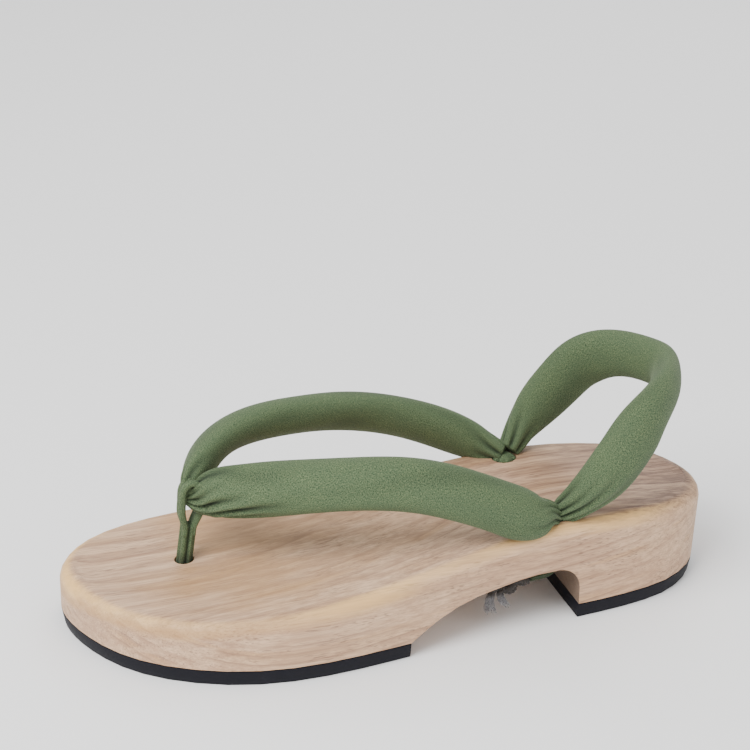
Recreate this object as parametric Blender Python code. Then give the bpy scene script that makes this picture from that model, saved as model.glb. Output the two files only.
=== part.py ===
"""Geta sandal for the left foot.

A wooden base with a built-in heel stands on two rubber treads. A padded cloth strap forms a V over
the forefoot, held at its point by a post between the toes, and a loop behind the heel. All strap
ends go down two holes at the front of the heel and are tied off under the arch.

Metres. +X to the toe, +Y to the outer side of the foot, +Z up. The origin is on the floor, under
the heel tread.
"""

import math

import bmesh
import bpy
import numpy as np

# Base, from the floor up
LENGTH = 0.250  # heel back to toe tip
OUTER_HALF = 0.0497  # widest reach of the outer side from the long axis
INNER_HALF = 0.0474  # widest reach of the inner side from the long axis
TOE_TIP_INWARD = 0.014  # how far inward of the long axis the toe tip lies
HEEL_SEAT = 0.030  # heel back to the origin
HEEL_HEIGHT = 0.0403  # floor to the highest part of the footbed
RIM_RADIUS = 0.005  # rounding of the top edge
DISH_DEPTH = 0.0014  # hollow of the footbed below its rim
DISH_RUNOUT = 0.0200  # half width of the footbed below which the hollow runs out
BACK_UNDERCUT = 0.0013  # how far the back wall leans in at its foot
SIDE_FLARE = 0.0006  # how far the side walls lean out at their foot

# Treads
TREAD = 0.0061  # thickness of the rubber
TREAD_TAPER = 0.0011  # how far the rubber's lower edge is drawn in
GAP = 0.0003  # gap between pieces that touch

# Arch, seen from the side
HEEL_FRONT = 0.0630  # heel back to the heel's front wall
FOREFOOT_START = 0.1323  # heel back to where the arch meets the forefoot tread
ARCH_HEIGHT = 0.0225  # floor to the roof of the arch
ARCH_FILLET = 0.0090  # rounding where the heel's front wall meets the roof

# Holes for the straps
TOE_HOLE_X = 0.2040  # heel back to the toe hole
TOE_HOLE_INWARD = 0.009  # how far inward of the long axis the toe hole lies
TOE_HOLE_RADIUS = 0.0038
REAR_HOLE_X = 0.0710  # heel back to the two rear holes
REAR_HOLE_EDGE = 0.0100  # edge of the base to the middle of a rear hole
REAR_HOLE_RADIUS = 0.0050

# Straps
STRAP_WIDTH = 0.0200
STRAP_THICKNESS = 0.0130
APEX_RISE = 0.0255  # footbed to the middle of the strap at the point of the V
POINT_HEIGHT = 0.0080  # gathered strap inside the toe post's loop
POINT_DEPTH = 0.0036
BRANCH_RISE = 0.0200  # how far each branch rises above the line between its ends
OUTER_BULGE = 0.0170  # how far the outer branch swings out of that line
INNER_BULGE = 0.0210  # how far the inner branch swings out of that line
LOOP_RISE = 0.0425  # rear holes to the middle of the loop behind the heel
LOOP_BACK_X = 0.0170  # heel back to the middle of the strap behind the heel
LOOP_FLARE = 0.0067  # how far the loop swings out past the rear holes at its widest
NECK_RADIUS = 0.0044  # gathered strap in a rear hole
NECK_REACH = 0.0040  # how far it stays that thick above and below the hole's mouth
NECK_UNDER = 0.0110  # how far it reaches forward under the arch
TAIL_RADIUS = 0.0029  # gathered tail along the roof of the arch

# Toe post
POST_WIDTH = 0.0060
POST_THICKNESS = 0.0030
POST_LEAN = 0.0035  # how far the toe hole lies forward of the point of the V
POST_FORK = 2.0  # middle of the strap to the fork, in half heights of the strip's loop
POST_TOP = 1.06  # middle of the strap to the top of the loop, in the same
POST_SLIM = 0.8  # thickness of the two legs at the fork, as a share of the strip's

# Tie cord under the arch
TWINE_RADIUS = 0.0013
TWINE_TAIL = 0.0125  # how far the longer loose end hangs down
KNOT_RADIUS = 0.0040
KNOT_SQUASH = 0.8  # height of a knot as a share of its width

# The outline of the base: share of LENGTH from the heel, share of OUTER_HALF and of INNER_HALF
OUTLINE = (
    {"along": 0.04, "outer": 0.415, "inner": 0.485},
    {"along": 0.15, "outer": 0.670, "inner": 0.692},
    {"along": 0.35, "outer": 0.795, "inner": 0.749},
    {"along": 0.55, "outer": 0.948, "inner": 0.844},
    {"along": 0.75, "outer": 1.000, "inner": 1.000},
    {"along": 0.90, "outer": 0.678, "inner": 0.920},
    {"along": 0.97, "outer": 0.255, "inner": 0.680},
)

# Height of the footbed's rim: share of LENGTH from the heel, share of HEEL_HEIGHT
FOOTBED = (
    {"along": 0.00, "height": 0.890},
    {"along": 0.12, "height": 0.965},
    {"along": 0.25, "height": 1.000},
    {"along": 0.50, "height": 0.804},
    {"along": 0.75, "height": 0.620},
    {"along": 1.00, "height": 0.548},
)

# The roof of the arch from the fillet to the forefoot: share of the way forward, share of the
# height between the bottom of the wood and the roof
ARCH_ROOF = (
    {"forward": 0.17, "height": 1.000},
    {"forward": 0.26, "height": 1.000},
    {"forward": 0.37, "height": 0.955},
    {"forward": 0.49, "height": 0.870},
    {"forward": 0.61, "height": 0.785},
    {"forward": 0.73, "height": 0.635},
    {"forward": 0.84, "height": 0.430},
    {"forward": 0.93, "height": 0.200},
)

# The branches of the V from its point to the rear hole. along: share of the straight line between
# the ends. rise, bulge: shares of the named sizes. width, thickness: shares of the strap's. lean:
# degrees by which its outer face looks up from level
OUTER_BRANCH = (
    {"along": -0.016, "rise": -0.02, "bulge": -0.02, "width": 0.28, "thickness": 0.24, "lean": 20},
    {"along": 0.00, "rise": 0.00, "bulge": 0.00, "width": 0.40, "thickness": 0.30, "lean": 20},
    {"along": 0.045, "rise": 0.10, "bulge": 0.10, "width": 0.68, "thickness": 0.70, "lean": 25},
    {"along": 0.10, "rise": 0.24, "bulge": 0.25, "width": 0.88, "thickness": 0.90, "lean": 30},
    {"along": 0.18, "rise": 0.43, "bulge": 0.47, "width": 1.00, "thickness": 1.00, "lean": 36},
    {"along": 0.26, "rise": 0.59, "bulge": 0.68, "width": 1.00, "thickness": 1.00, "lean": 38},
    {"along": 0.36, "rise": 0.75, "bulge": 0.86, "width": 1.00, "thickness": 1.00, "lean": 38},
    {"along": 0.47, "rise": 0.87, "bulge": 0.98, "width": 1.00, "thickness": 1.00, "lean": 36},
    {"along": 0.58, "rise": 0.88, "bulge": 1.00, "width": 1.00, "thickness": 1.00, "lean": 34},
    {"along": 0.70, "rise": 0.72, "bulge": 0.94, "width": 1.00, "thickness": 1.00, "lean": 32},
    {"along": 0.81, "rise": 0.46, "bulge": 0.80, "width": 1.00, "thickness": 0.96, "lean": 30},
    {"along": 0.90, "rise": 0.23, "bulge": 0.60, "width": 0.94, "thickness": 0.88, "lean": 30},
    {"along": 0.935, "rise": 0.18, "bulge": 0.47, "width": 0.78, "thickness": 0.80, "lean": 31},
    {"along": 0.965, "rise": 0.15, "bulge": 0.30, "width": 0.56, "thickness": 0.68, "lean": 33},
    {"along": 1.00, "rise": 0.02, "bulge": 0.08, "width": 0.38, "thickness": 0.54, "lean": 36},
)
INNER_BRANCH = (
    {"along": 0.00, "rise": 0.00, "bulge": 0.00, "width": 0.40, "thickness": 0.30, "lean": 20},
    {"along": 0.016, "rise": 0.26, "bulge": 0.24, "width": 0.62, "thickness": 0.68, "lean": 28},
    {"along": 0.055, "rise": 0.56, "bulge": 0.56, "width": 0.88, "thickness": 0.90, "lean": 36},
    {"along": 0.12, "rise": 0.77, "bulge": 0.82, "width": 1.00, "thickness": 1.00, "lean": 42},
    {"along": 0.24, "rise": 0.86, "bulge": 1.00, "width": 1.00, "thickness": 1.00, "lean": 42},
    {"along": 0.36, "rise": 0.89, "bulge": 1.06, "width": 1.00, "thickness": 1.00, "lean": 40},
    {"along": 0.49, "rise": 0.90, "bulge": 1.04, "width": 1.00, "thickness": 1.00, "lean": 36},
    {"along": 0.62, "rise": 0.80, "bulge": 0.98, "width": 1.00, "thickness": 1.00, "lean": 33},
    {"along": 0.74, "rise": 0.60, "bulge": 0.84, "width": 1.00, "thickness": 0.98, "lean": 31},
    {"along": 0.85, "rise": 0.34, "bulge": 0.64, "width": 0.98, "thickness": 0.92, "lean": 30},
    {"along": 0.94, "rise": 0.11, "bulge": 0.36, "width": 0.80, "thickness": 0.80, "lean": 32},
    {"along": 1.00, "rise": 0.00, "bulge": 0.06, "width": 0.46, "thickness": 0.62, "lean": 36},
)

# One half of the loop behind the heel, from a rear hole to the back. back: share of the way from
# the holes to the back. rise: share of LOOP_RISE. spread: share of the loop's widest reach. facing:
# degrees by which the outer face is turned from sideways to backwards. The rest as above
LOOP_HALF_ROWS = (
    {"back": 0.045, "rise": 0.050, "spread": 0.84, "width": 0.44, "thickness": 0.60, "facing": 0, "lean": 30},
    {"back": 0.125, "rise": 0.155, "spread": 0.91, "width": 0.61, "thickness": 0.76, "facing": 0, "lean": 18},
    {"back": 0.215, "rise": 0.280, "spread": 0.97, "width": 0.82, "thickness": 0.88, "facing": 0, "lean": 8},
    {"back": 0.335, "rise": 0.445, "spread": 1.00, "width": 1.02, "thickness": 0.92, "facing": 0, "lean": 2},
    {"back": 0.465, "rise": 0.640, "spread": 0.98, "width": 1.10, "thickness": 0.90, "facing": 2, "lean": 0},
    {"back": 0.585, "rise": 0.815, "spread": 0.92, "width": 1.13, "thickness": 0.88, "facing": 9, "lean": 0},
    {"back": 0.710, "rise": 0.925, "spread": 0.78, "width": 1.12, "thickness": 0.86, "facing": 26, "lean": 0},
    {"back": 0.860, "rise": 0.985, "spread": 0.50, "width": 1.00, "thickness": 0.86, "facing": 54, "lean": 0},
    {"back": 0.960, "rise": 0.995, "spread": 0.25, "width": 0.92, "thickness": 0.86, "facing": 77, "lean": 0},
)

# The gathered strap from a rear hole to its end under the arch. forward, outward: shares of
# NECK_UNDER from the hole. height: the same, from the tail's own middle line under the roof. width,
# thickness: shares of its thickness in the hole. facing: degrees by which its outer face turns from
# backwards to downwards
NECK_TURN = (
    {"forward": 0.00, "outward": 0.00, "height": 0.54, "width": 1.00, "thickness": 1.00, "facing": 0},
    {"forward": 0.00, "outward": 0.00, "height": 0.18, "width": 0.85, "thickness": 0.85, "facing": 0},
    {"forward": 0.27, "outward": 0.09, "height": -0.07, "width": 0.89, "thickness": 0.66, "facing": 45},
    {"forward": 0.68, "outward": 0.18, "height": -0.07, "width": 0.85, "thickness": 0.66, "facing": 90},
    {"forward": 1.00, "outward": 0.27, "height": -0.13, "width": 0.59, "thickness": 0.52, "facing": 90},
)

# The front half of the toe post's loop round the strap. out: share of its reach forwards. up: share
# of its reach upwards. swell: share of its thickness
POST_HALF = (
    {"out": 0.88, "up": -1.10, "swell": 1.00},
    {"out": 1.00, "up": -0.30, "swell": 1.00},
    {"out": 0.96, "up": 0.45, "swell": 1.00},
    {"out": 0.58, "up": 0.92, "swell": 1.00},
)

# The loose ends of the twine. forward, drop: shares of TWINE_TAIL ahead of the knot and below it
LOOSE_ENDS = (
    {"name": "front", "forward": 0.84, "drop": 1.0},
    {"name": "back", "forward": 0.40, "drop": 0.9},
)

WOOD_BOTTOM = TREAD + GAP
OUTLINE_POINTS = 1600  # dense points round the outline, from which the stations are read
OUTLINE_STEPS = 34  # stations from heel to toe
END_CROWDING = 0.75  # 0 spaces the stations evenly, 1 crowds them to the heel and toe
RIM_STEPS = 4
BED_COLUMNS = 7
STRAP_SIDES = 14
BRANCH_STEPS = 34
LOOP_STEPS = 62


def spline(knots, values, at, closed=False):
    """Cubic spline through the values, which may have several columns; natural ends, or closed."""
    knots = np.asarray(knots, float)
    values = np.asarray(values, float)
    if closed:
        lap = knots[-1] - knots[0]
        knots = np.concatenate([knots[-4:-1] - lap, knots, knots[1:4] + lap])
        values = np.concatenate([values[-4:-1], values, values[1:4]])
    count = len(knots)
    step = np.diff(knots)
    slope = np.diff(values, axis=0) / step[:, None]
    matrix = np.eye(count)
    right = np.zeros_like(values)
    for i in range(1, count - 1):
        matrix[i, i - 1 : i + 2] = step[i - 1], 2 * (step[i - 1] + step[i]), step[i]
        right[i] = 6 * (slope[i] - slope[i - 1])
    bend = np.linalg.solve(matrix, right)
    i = np.clip(np.searchsorted(knots, at, side="right") - 1, 0, count - 2)
    past = (at - knots[i])[:, None]
    left = (knots[i + 1] - at)[:, None]
    width = step[i][:, None]
    return (
        (bend[i] * left**3 + bend[i + 1] * past**3) / (6 * width)
        + (values[i] / width - bend[i] * width / 6) * left
        + (values[i + 1] / width - bend[i + 1] * width / 6) * past
    )


def column(table, name):
    return np.array([row[name] for row in table], float)


def x_of(from_heel):
    """X of a place given by its distance from the heel back."""
    return from_heel - HEEL_SEAT


def outline_points():
    """The closed outline, as dense points from the heel back round the outer side, and their
    outward normals and the index of the toe tip."""
    along = column(OUTLINE, "along") * LENGTH
    outer = np.column_stack([along, column(OUTLINE, "outer") * OUTER_HALF])
    inner = np.column_stack([along, -column(OUTLINE, "inner") * INNER_HALF])
    tip = np.array([[LENGTH, -TOE_TIP_INWARD]])
    heel = np.zeros((1, 2))
    ring = np.concatenate([heel, outer, tip, inner[::-1], heel])
    knots = np.concatenate([[0], np.cumsum(np.sqrt(np.linalg.norm(np.diff(ring, axis=0), axis=1)))])
    at = np.linspace(0, knots[-1], OUTLINE_POINTS + 1)[:-1]
    points = spline(knots, ring, at, closed=True)
    tangent = np.roll(points, -1, axis=0) - np.roll(points, 1, axis=0)
    tangent /= np.linalg.norm(tangent, axis=1)[:, None]
    normals = np.column_stack([-tangent[:, 1], tangent[:, 0]])
    return points, normals, int(points[:, 0].argmax())


def side_stations():
    """Matching points on the outer and inner side, from the heel back to the toe tip."""
    points, normals, tip = outline_points()
    even = np.linspace(0, 1, OUTLINE_STEPS)
    crowded = (1 - np.cos(even * math.pi)) / 2
    share = END_CROWDING * crowded + (1 - END_CROWDING) * even
    sides = []
    for path in (np.arange(0, tip + 1), np.arange(len(points), tip - 1, -1)):
        ring = points[path % len(points)]
        turned = normals[path % len(points)]
        length = np.concatenate([[0], np.cumsum(np.linalg.norm(np.diff(ring, axis=0), axis=1))])
        at = share * length[-1]
        place = [np.interp(at, length, ring[:, k]) for k in range(2)]
        facing = [np.interp(at, length, turned[:, k]) for k in range(2)]
        sides.append((np.column_stack(place), np.column_stack(facing)))
    return sides


def half_width(from_heel, side):
    """Distance from the long axis to the outline on one side: 1 outer, -1 inner."""
    points, _, _ = outline_points()
    mine = points[points[:, 1] * side > 0]
    order = mine[:, 0].argsort()
    return float(np.interp(from_heel, mine[order, 0], np.abs(mine[order, 1])))


def rim_height(from_heel):
    """Height of the footbed's edge."""
    share = np.clip(np.asarray(from_heel, float) / LENGTH, 0, 1)
    flat = np.atleast_1d(share)
    heights = spline(column(FOOTBED, "along"), column(FOOTBED, "height")[:, None], flat)[:, 0]
    return (heights * HEEL_HEIGHT).reshape(share.shape)


def footbed_height(from_heel, across, half):
    """Height of the footbed at a point. across is 0 in the middle and 1 at the rim, and half is
    half the footbed's width there, because the hollow runs out towards the toe and heel."""
    full = min(1.0, half / DISH_RUNOUT)
    run_out = full**2 * (3 - 2 * full)
    return float(rim_height(from_heel)) - DISH_DEPTH * run_out * (1 - across**2) ** 2


def wall_lean(from_heel):
    """How far the wall's foot is drawn in from the outline."""
    share = np.clip(from_heel / LENGTH, 0, 1)
    return np.interp(share, (0, 0.10, 0.90, 1), (BACK_UNDERCUT, -SIDE_FLARE, -SIDE_FLARE, 0))


def object_from(name, mesh_data, collection):
    mesh = bpy.data.meshes.new(name)
    mesh_data.to_mesh(mesh)
    mesh_data.free()
    made = bpy.data.objects.new(name, mesh)
    collection.objects.link(made)
    return made


def loft(name, sections, collection):
    """Closed solid through closed sections of equal point count, with both ends filled. Points
    that meet, as at a tip, become one."""
    mesh = bmesh.new()
    rings = [[mesh.verts.new(point) for point in section] for section in sections]
    count = len(rings[0])
    for ring, after in zip(rings, rings[1:]):
        for i in range(count):
            j = (i + 1) % count
            mesh.faces.new((ring[i], ring[j], after[j], after[i]))
    mesh.faces.new(rings[0][::-1])
    mesh.faces.new(rings[-1])
    bmesh.ops.remove_doubles(mesh, verts=mesh.verts, dist=1e-6)
    bmesh.ops.dissolve_degenerate(mesh, edges=mesh.edges, dist=1e-6)
    bmesh.ops.recalc_face_normals(mesh, faces=mesh.faces)
    return object_from(name, mesh, collection)


def base_blank(name, collection, grow=0.0, bottom=WOOD_BOTTOM):
    """The base before the arch and holes are cut. grow pushes its top and walls outwards."""
    (outer, outer_facing), (inner, inner_facing) = side_stations()
    angles = np.linspace(0, math.pi / 2, RIM_STEPS + 1)
    sections = []
    for o, of, i, inf in zip(outer, outer_facing, inner, inner_facing):
        ring = []
        for place, facing in ((o, of), (i, inf)):
            top = float(rim_height(place[0]))
            lean = wall_lean(place[0])
            column_points = [(*(place - facing * (lean - grow)), bottom)]
            for angle in angles:
                inset = RIM_RADIUS * (1 - math.cos(angle)) - grow
                height = top - RIM_RADIUS * (1 - math.sin(angle)) + grow
                column_points.append((*(place - facing * inset), height))
            ring.append(column_points)
        outer_column, inner_column = ring
        start, end = np.array(outer_column[-1]), np.array(inner_column[-1])
        half = float(np.linalg.norm(end - start)) / 2
        bed = []
        for share in np.linspace(0, 1, BED_COLUMNS + 2)[1:-1]:
            x, y = (start + (end - start) * share)[:2]
            bed.append((x, y, footbed_height(x, abs(2 * share - 1), half) + grow))
        sections.append(outer_column + bed + inner_column[::-1])
    shifted = [[(x_of(x), y, z) for x, y, z in section] for section in sections]
    return loft(name, shifted, collection)


def arch_profile():
    """The arch from the side: floor at the heel, fillet, roof, and down to the forefoot."""
    below = -ARCH_HEIGHT
    centre_x = HEEL_FRONT + ARCH_FILLET
    centre_z = ARCH_HEIGHT - ARCH_FILLET
    points = [(HEEL_FRONT, below)]
    for angle in np.linspace(math.pi, math.pi / 2, 7):
        points.append(
            (centre_x + ARCH_FILLET * math.cos(angle), centre_z + ARCH_FILLET * math.sin(angle))
        )
    span = FOREFOOT_START - HEEL_FRONT
    for row in ARCH_ROOF:
        height = WOOD_BOTTOM + row["height"] * (ARCH_HEIGHT - WOOD_BOTTOM)
        points.append((HEEL_FRONT + row["forward"] * span, height))
    points.append((FOREFOOT_START, WOOD_BOTTOM))
    points.append((FOREFOOT_START, below))
    return points


def extruded_cutter(name, profile, half_depth, collection):
    """A solid whose side view is the profile, across the whole width."""
    sections = []
    for y in (-half_depth, half_depth):
        sections.append([(x_of(x), y, z) for x, z in profile])
    return as_cutter(loft(name, sections, collection))


def as_cutter(cutter):
    cutter.hide_render = True
    cutter.display_type = "WIRE"
    return cutter


def box_cutter(name, low, high, collection):
    mesh = bmesh.new()
    bmesh.ops.create_cube(mesh, size=1)
    low, high = np.array(low), np.array(high)
    for vertex in mesh.verts:
        vertex.co = (low + high) / 2 + np.array(vertex.co) * (high - low)
    return as_cutter(object_from(name, mesh, collection))


def rod(name, start, end, radius, collection, sides=16):
    """A round bar between two points."""
    start, end = np.array(start), np.array(end)
    axis = end - start
    outward = np.cross(axis, (0, 1, 0))
    rows = [(start, outward, 2 * radius, 2 * radius), (end, outward, 2 * radius, 2 * radius)]
    return loft(name, [ellipse_section(*row, axis, sides) for row in rows], collection)


def boolean(target, other, operation):
    modifier = target.modifiers.new(operation.lower() + " " + other.name, "BOOLEAN")
    modifier.operation = operation
    modifier.object = other
    return modifier


def ellipse_section(centre, outward, width, thickness, tangent, sides):
    """An oval ring square to the tangent. The thin way faces outward."""
    tangent = tangent / np.linalg.norm(tangent)
    thin = outward - tangent * np.dot(outward, tangent)
    thin /= np.linalg.norm(thin)
    wide = np.cross(tangent, thin)
    ring = []
    for angle in np.linspace(0, 2 * math.pi, sides, endpoint=False):
        ring.append(centre + wide * math.cos(angle) * width / 2 + thin * math.sin(angle) * thickness / 2)
    return ring


def swept_strap(name, centres, outwards, widths, thicknesses, steps, collection):
    """A padded strap along a smooth path with oval sections."""
    centres = np.array(centres)
    knots = np.concatenate([[0], np.cumsum(np.linalg.norm(np.diff(centres, axis=0), axis=1))])
    at = np.linspace(0, knots[-1], steps)
    table = np.column_stack([centres, outwards, widths, thicknesses])
    smooth = spline(knots, table, at)
    path = smooth[:, :3]
    tangents = np.gradient(path, axis=0)
    sections = [
        ellipse_section(row[:3], row[3:6], row[6], row[7], tangent, STRAP_SIDES)
        for row, tangent in zip(smooth, tangents)
    ]
    return loft(name, sections, collection)


def toe_hole():
    """Mouth of the toe hole."""
    bed = float(rim_height(TOE_HOLE_X)) - DISH_DEPTH
    return np.array([x_of(TOE_HOLE_X), -TOE_HOLE_INWARD, bed])


def apex():
    """Middle of the strap at the point of the V, behind and above the toe hole."""
    return toe_hole() + (-POST_LEAN, 0, APEX_RISE)


def rear_hole(side):
    """Mouth of a rear hole: 1 on the outer side, -1 on the inner side."""
    y = side * (half_width(REAR_HOLE_X, side) - REAR_HOLE_EDGE)
    return np.array([x_of(REAR_HOLE_X), y, float(rim_height(REAR_HOLE_X))])


def branch(name, table, side, bulge, collection):
    """One branch of the V, from its point to a rear hole."""
    start, end = apex(), rear_hole(side)
    centres, outwards = [], []
    for row in table:
        place = start + (end - start) * row["along"]
        place = place + np.array([0, side * bulge * row["bulge"], BRANCH_RISE * row["rise"]])
        lean = math.radians(row["lean"])
        centres.append(place)
        outwards.append((0, side * math.cos(lean), math.sin(lean)))
    widths = column(table, "width") * STRAP_WIDTH
    thicknesses = column(table, "thickness") * STRAP_THICKNESS
    return swept_strap(name, centres, outwards, widths, thicknesses, BRANCH_STEPS, collection)


def loop_side(side):
    """Rows of one half of the heel loop, from its rear hole to the back."""
    mouth = rear_hole(side)
    widest = mouth[1] + side * LOOP_FLARE
    rows = []
    for row in LOOP_HALF_ROWS:
        x = mouth[0] + (x_of(LOOP_BACK_X) - mouth[0]) * row["back"]
        centre = (x, widest * row["spread"], mouth[2] + LOOP_RISE * row["rise"])
        facing, lean = math.radians(row["facing"]), math.radians(row["lean"])
        level = (-math.sin(facing), side * math.cos(facing))
        outward = (level[0] * math.cos(lean), level[1] * math.cos(lean), math.sin(lean))
        rows.append((centre, outward, row["width"] * STRAP_WIDTH, row["thickness"] * STRAP_THICKNESS))
    return rows


def heel_loop(name, collection):
    """The loop behind the heel, from one rear hole round the back to the other."""
    last = LOOP_HALF_ROWS[-1]
    back = (x_of(LOOP_BACK_X), 0, rear_hole(1)[2] + LOOP_RISE)
    middle = [(back, (-1, 0, 0), last["width"] * STRAP_WIDTH, last["thickness"] * STRAP_THICKNESS)]
    rows = loop_side(1) + middle + loop_side(-1)[::-1]
    centres, outwards, widths, thicknesses = zip(*rows)
    return swept_strap(name, centres, outwards, widths, thicknesses, LOOP_STEPS, collection)


def neck(name, side, collection):
    """The gathered strap that goes down a rear hole and turns forward along the arch's roof."""
    mouth = rear_hole(side)
    roof = ARCH_HEIGHT - TAIL_RADIUS - GAP
    rows = []
    for above in (NECK_REACH, -NECK_REACH):
        rows.append((mouth + (0, 0, above), (-1, 0, 0), 2 * NECK_RADIUS, 2 * NECK_RADIUS))
    for row in NECK_TURN:
        x = mouth[0] + row["forward"] * NECK_UNDER
        y = mouth[1] + side * row["outward"] * NECK_UNDER
        centre = (x, y, roof + row["height"] * NECK_UNDER)
        facing = math.radians(row["facing"])
        outward = (-math.cos(facing), 0, -math.sin(facing))
        size = 2 * NECK_RADIUS
        rows.append((centre, outward, row["width"] * size, row["thickness"] * size))
    centres, outwards, widths, thicknesses = zip(*rows)
    return swept_strap(name, centres, outwards, widths, thicknesses, 22, collection)


def joined(target, pieces):
    """Unites the target with other objects, which become helpers."""
    for piece in pieces:
        boolean(target, as_cutter(piece), "UNION")
    return target


def build_base(parts, cutters):
    base = base_blank("base", parts)
    arch = extruded_cutter("arch_cutter", arch_profile(), LENGTH, cutters)
    boolean(base, arch, "DIFFERENCE")
    x, y, _ = toe_hole()
    top = HEEL_HEIGHT + RIM_RADIUS
    drill = rod("toe_hole_cutter", (x, y, 0), (x, y, top), TOE_HOLE_RADIUS, cutters)
    boolean(base, as_cutter(drill), "DIFFERENCE")
    for side, label in ((1, "outer"), (-1, "inner")):
        x, y, _ = rear_hole(side)
        hole = rod(label + "_hole_cutter", (x, y, 0), (x, y, top), REAR_HOLE_RADIUS, cutters)
        boolean(base, as_cutter(hole), "DIFFERENCE")
    return base


def build_tread(name, start, end, parts, cutters):
    """Rubber under the part of the base between two distances from the heel back."""
    (outer, outer_facing), (inner, inner_facing) = side_stations()
    sections = []
    for o, of, i, inf in zip(outer, outer_facing, inner, inner_facing):
        corners = []
        for place, facing in ((o, of), (i, inf)):
            lean = wall_lean(place[0])
            corners.append([(*(place - facing * (lean + TREAD_TAPER)), 0.0)])
            corners[-1].append((*(place - facing * lean), TREAD))
        ring = [corners[0][0], corners[0][1], corners[1][1], corners[1][0]]
        sections.append([(x_of(x), y, z) for x, y, z in ring])
    tread = loft(name, sections, parts)
    low = (x_of(start), -LENGTH, -TREAD)
    high = (x_of(end), LENGTH, 2 * TREAD)
    boolean(tread, box_cutter(name + "_extent", low, high, cutters), "INTERSECT")
    return tread


def build_straps(parts, cutters):
    """V and heel loop joined into one upper, resting on the base, with their gathered ends."""
    straps = branch("straps", OUTER_BRANCH, 1, OUTER_BULGE, parts)
    joined(
        straps,
        [
            branch("inner_branch", INNER_BRANCH, -1, INNER_BULGE, cutters),
            heel_loop("heel_loop", cutters),
        ],
    )
    boolean(straps, as_cutter(base_blank("base_clearance", cutters, GAP, 0.0)), "DIFFERENCE")
    boolean(straps, as_cutter(toe_post("post_clearance", cutters, cutters, GAP)), "DIFFERENCE")
    joined(straps, [neck("outer_neck", 1, cutters), neck("inner_neck", -1, cutters)])
    return straps


def toe_post(name, collection, cutters, grow=0.0):
    """A narrow strip that goes up in front of the V's point, over it and down behind it. grow
    makes it thicker all round."""
    centre = apex()
    mouth = toe_hole()
    reach_up = POINT_HEIGHT / 2 + GAP + POST_THICKNESS / 2
    reach_out = POINT_DEPTH / 2 + GAP + POST_THICKNESS / 2
    bottom = WOOD_BOTTOM + 2 * GAP
    fork = centre[2] - POST_FORK * reach_up
    leg = POST_SLIM * POST_THICKNESS / 2 + 1.4 * GAP
    front = [(leg, fork - POST_THICKNESS), (leg, fork)]
    for row in POST_HALF:
        front.append((row["out"] * reach_out, centre[2] + row["up"] * reach_up))
    over = front + [(0.0, centre[2] + POST_TOP * reach_up)] + [(-x, z) for x, z in front[::-1]]
    heights = [centre[2], mouth[2]]
    shift = [np.interp(-z, [-heights[0], -heights[1]], [centre[0], mouth[0]]) for _, z in over]
    centres = [(x + middle, centre[1], z) for (x, z), middle in zip(over, shift)]
    outwards = [(0, 1, 0)] * len(centres)
    swell = [POST_SLIM, POST_SLIM] + list(column(POST_HALF, "swell"))
    swell = np.array(swell + [1.0] + swell[::-1])
    widths = POST_THICKNESS * swell + 2 * grow
    thicknesses = [POST_WIDTH + 2 * grow] * len(centres)
    strip = swept_strap(name, centres, outwards, widths, thicknesses, 40, collection)
    stem_top = fork + 0.2 * POST_THICKNESS
    tilt = (stem_top - mouth[2]) / (centre[2] - mouth[2]) * POST_LEAN
    stem = [(mouth[0], mouth[1], bottom), mouth, (mouth[0] - tilt, mouth[1], stem_top)]
    deep = [2 * leg + POST_SLIM * POST_THICKNESS + 2 * grow] * 3
    wide = [POST_WIDTH + 2 * grow] * 3
    return joined(strip, [swept_strap(name + "_stem", stem, [(0, 1, 0)] * 3, deep, wide, 5, cutters)])


def build_tie_cord(parts, cutters):
    """Twine that ties the two strap ends together under the arch, knotted on the outer side."""
    end = NECK_TURN[-1]
    middle_line = ARCH_HEIGHT - TAIL_RADIUS - GAP
    knots = []
    for side in (1, -1):
        x, y, _ = rear_hole(side)
        x += end["forward"] * NECK_UNDER + KNOT_RADIUS + GAP
        y += side * end["outward"] * NECK_UNDER
        knots.append(np.array([x, y, middle_line + end["height"] * NECK_UNDER]))
    outer, inner = knots
    run = [outer + (inner - outer) * share for share in (0, 0.2, 0.5, 0.8, 1)]
    thick = [2 * TWINE_RADIUS] * len(run)
    cord = swept_strap("tie_cord", run, [(0, 0, 1)] * len(run), thick, thick, 12, parts)
    pieces = []
    for place, label in ((outer, "outer"), (inner, "inner")):
        mesh = bmesh.new()
        bmesh.ops.create_uvsphere(mesh, u_segments=12, v_segments=8, radius=KNOT_RADIUS)
        for vertex in mesh.verts:
            vertex.co = np.array(vertex.co) * (1, 1, KNOT_SQUASH) + place
        pieces.append(object_from(label + "_knot", mesh, cutters))
    for row in LOOSE_ENDS:
        step = np.array([row["forward"] * TWINE_TAIL, TWINE_RADIUS, -row["drop"] * TWINE_TAIL])
        tail = [outer + step * (0.1, 0.5, 0.1), outer + step * (0.6, 1, 0.35), outer + step]
        width = [2 * TWINE_RADIUS] * 3
        pieces.append(swept_strap(row["name"] + "_end", tail, [(1, 0, 0)] * 3, width, width, 7, cutters))
    joined(cord, pieces)
    return cord


def finish(made, colour, roughness):
    """Gives a piece its material and smooth shading."""
    material = bpy.data.materials.new(made.name)
    material.use_nodes = True
    shader = material.node_tree.nodes["Principled BSDF"]
    shader.inputs["Base Color"].default_value = (*colour, 1)
    shader.inputs["Roughness"].default_value = roughness
    shader.inputs["Metallic"].default_value = 0
    made.data.materials.append(material)
    made.data.shade_smooth()
    made.data.set_sharp_from_angle(angle=math.radians(40))


def new_collection(name):
    made = bpy.data.collections.new(name)
    bpy.context.scene.collection.children.link(made)
    return made


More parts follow.
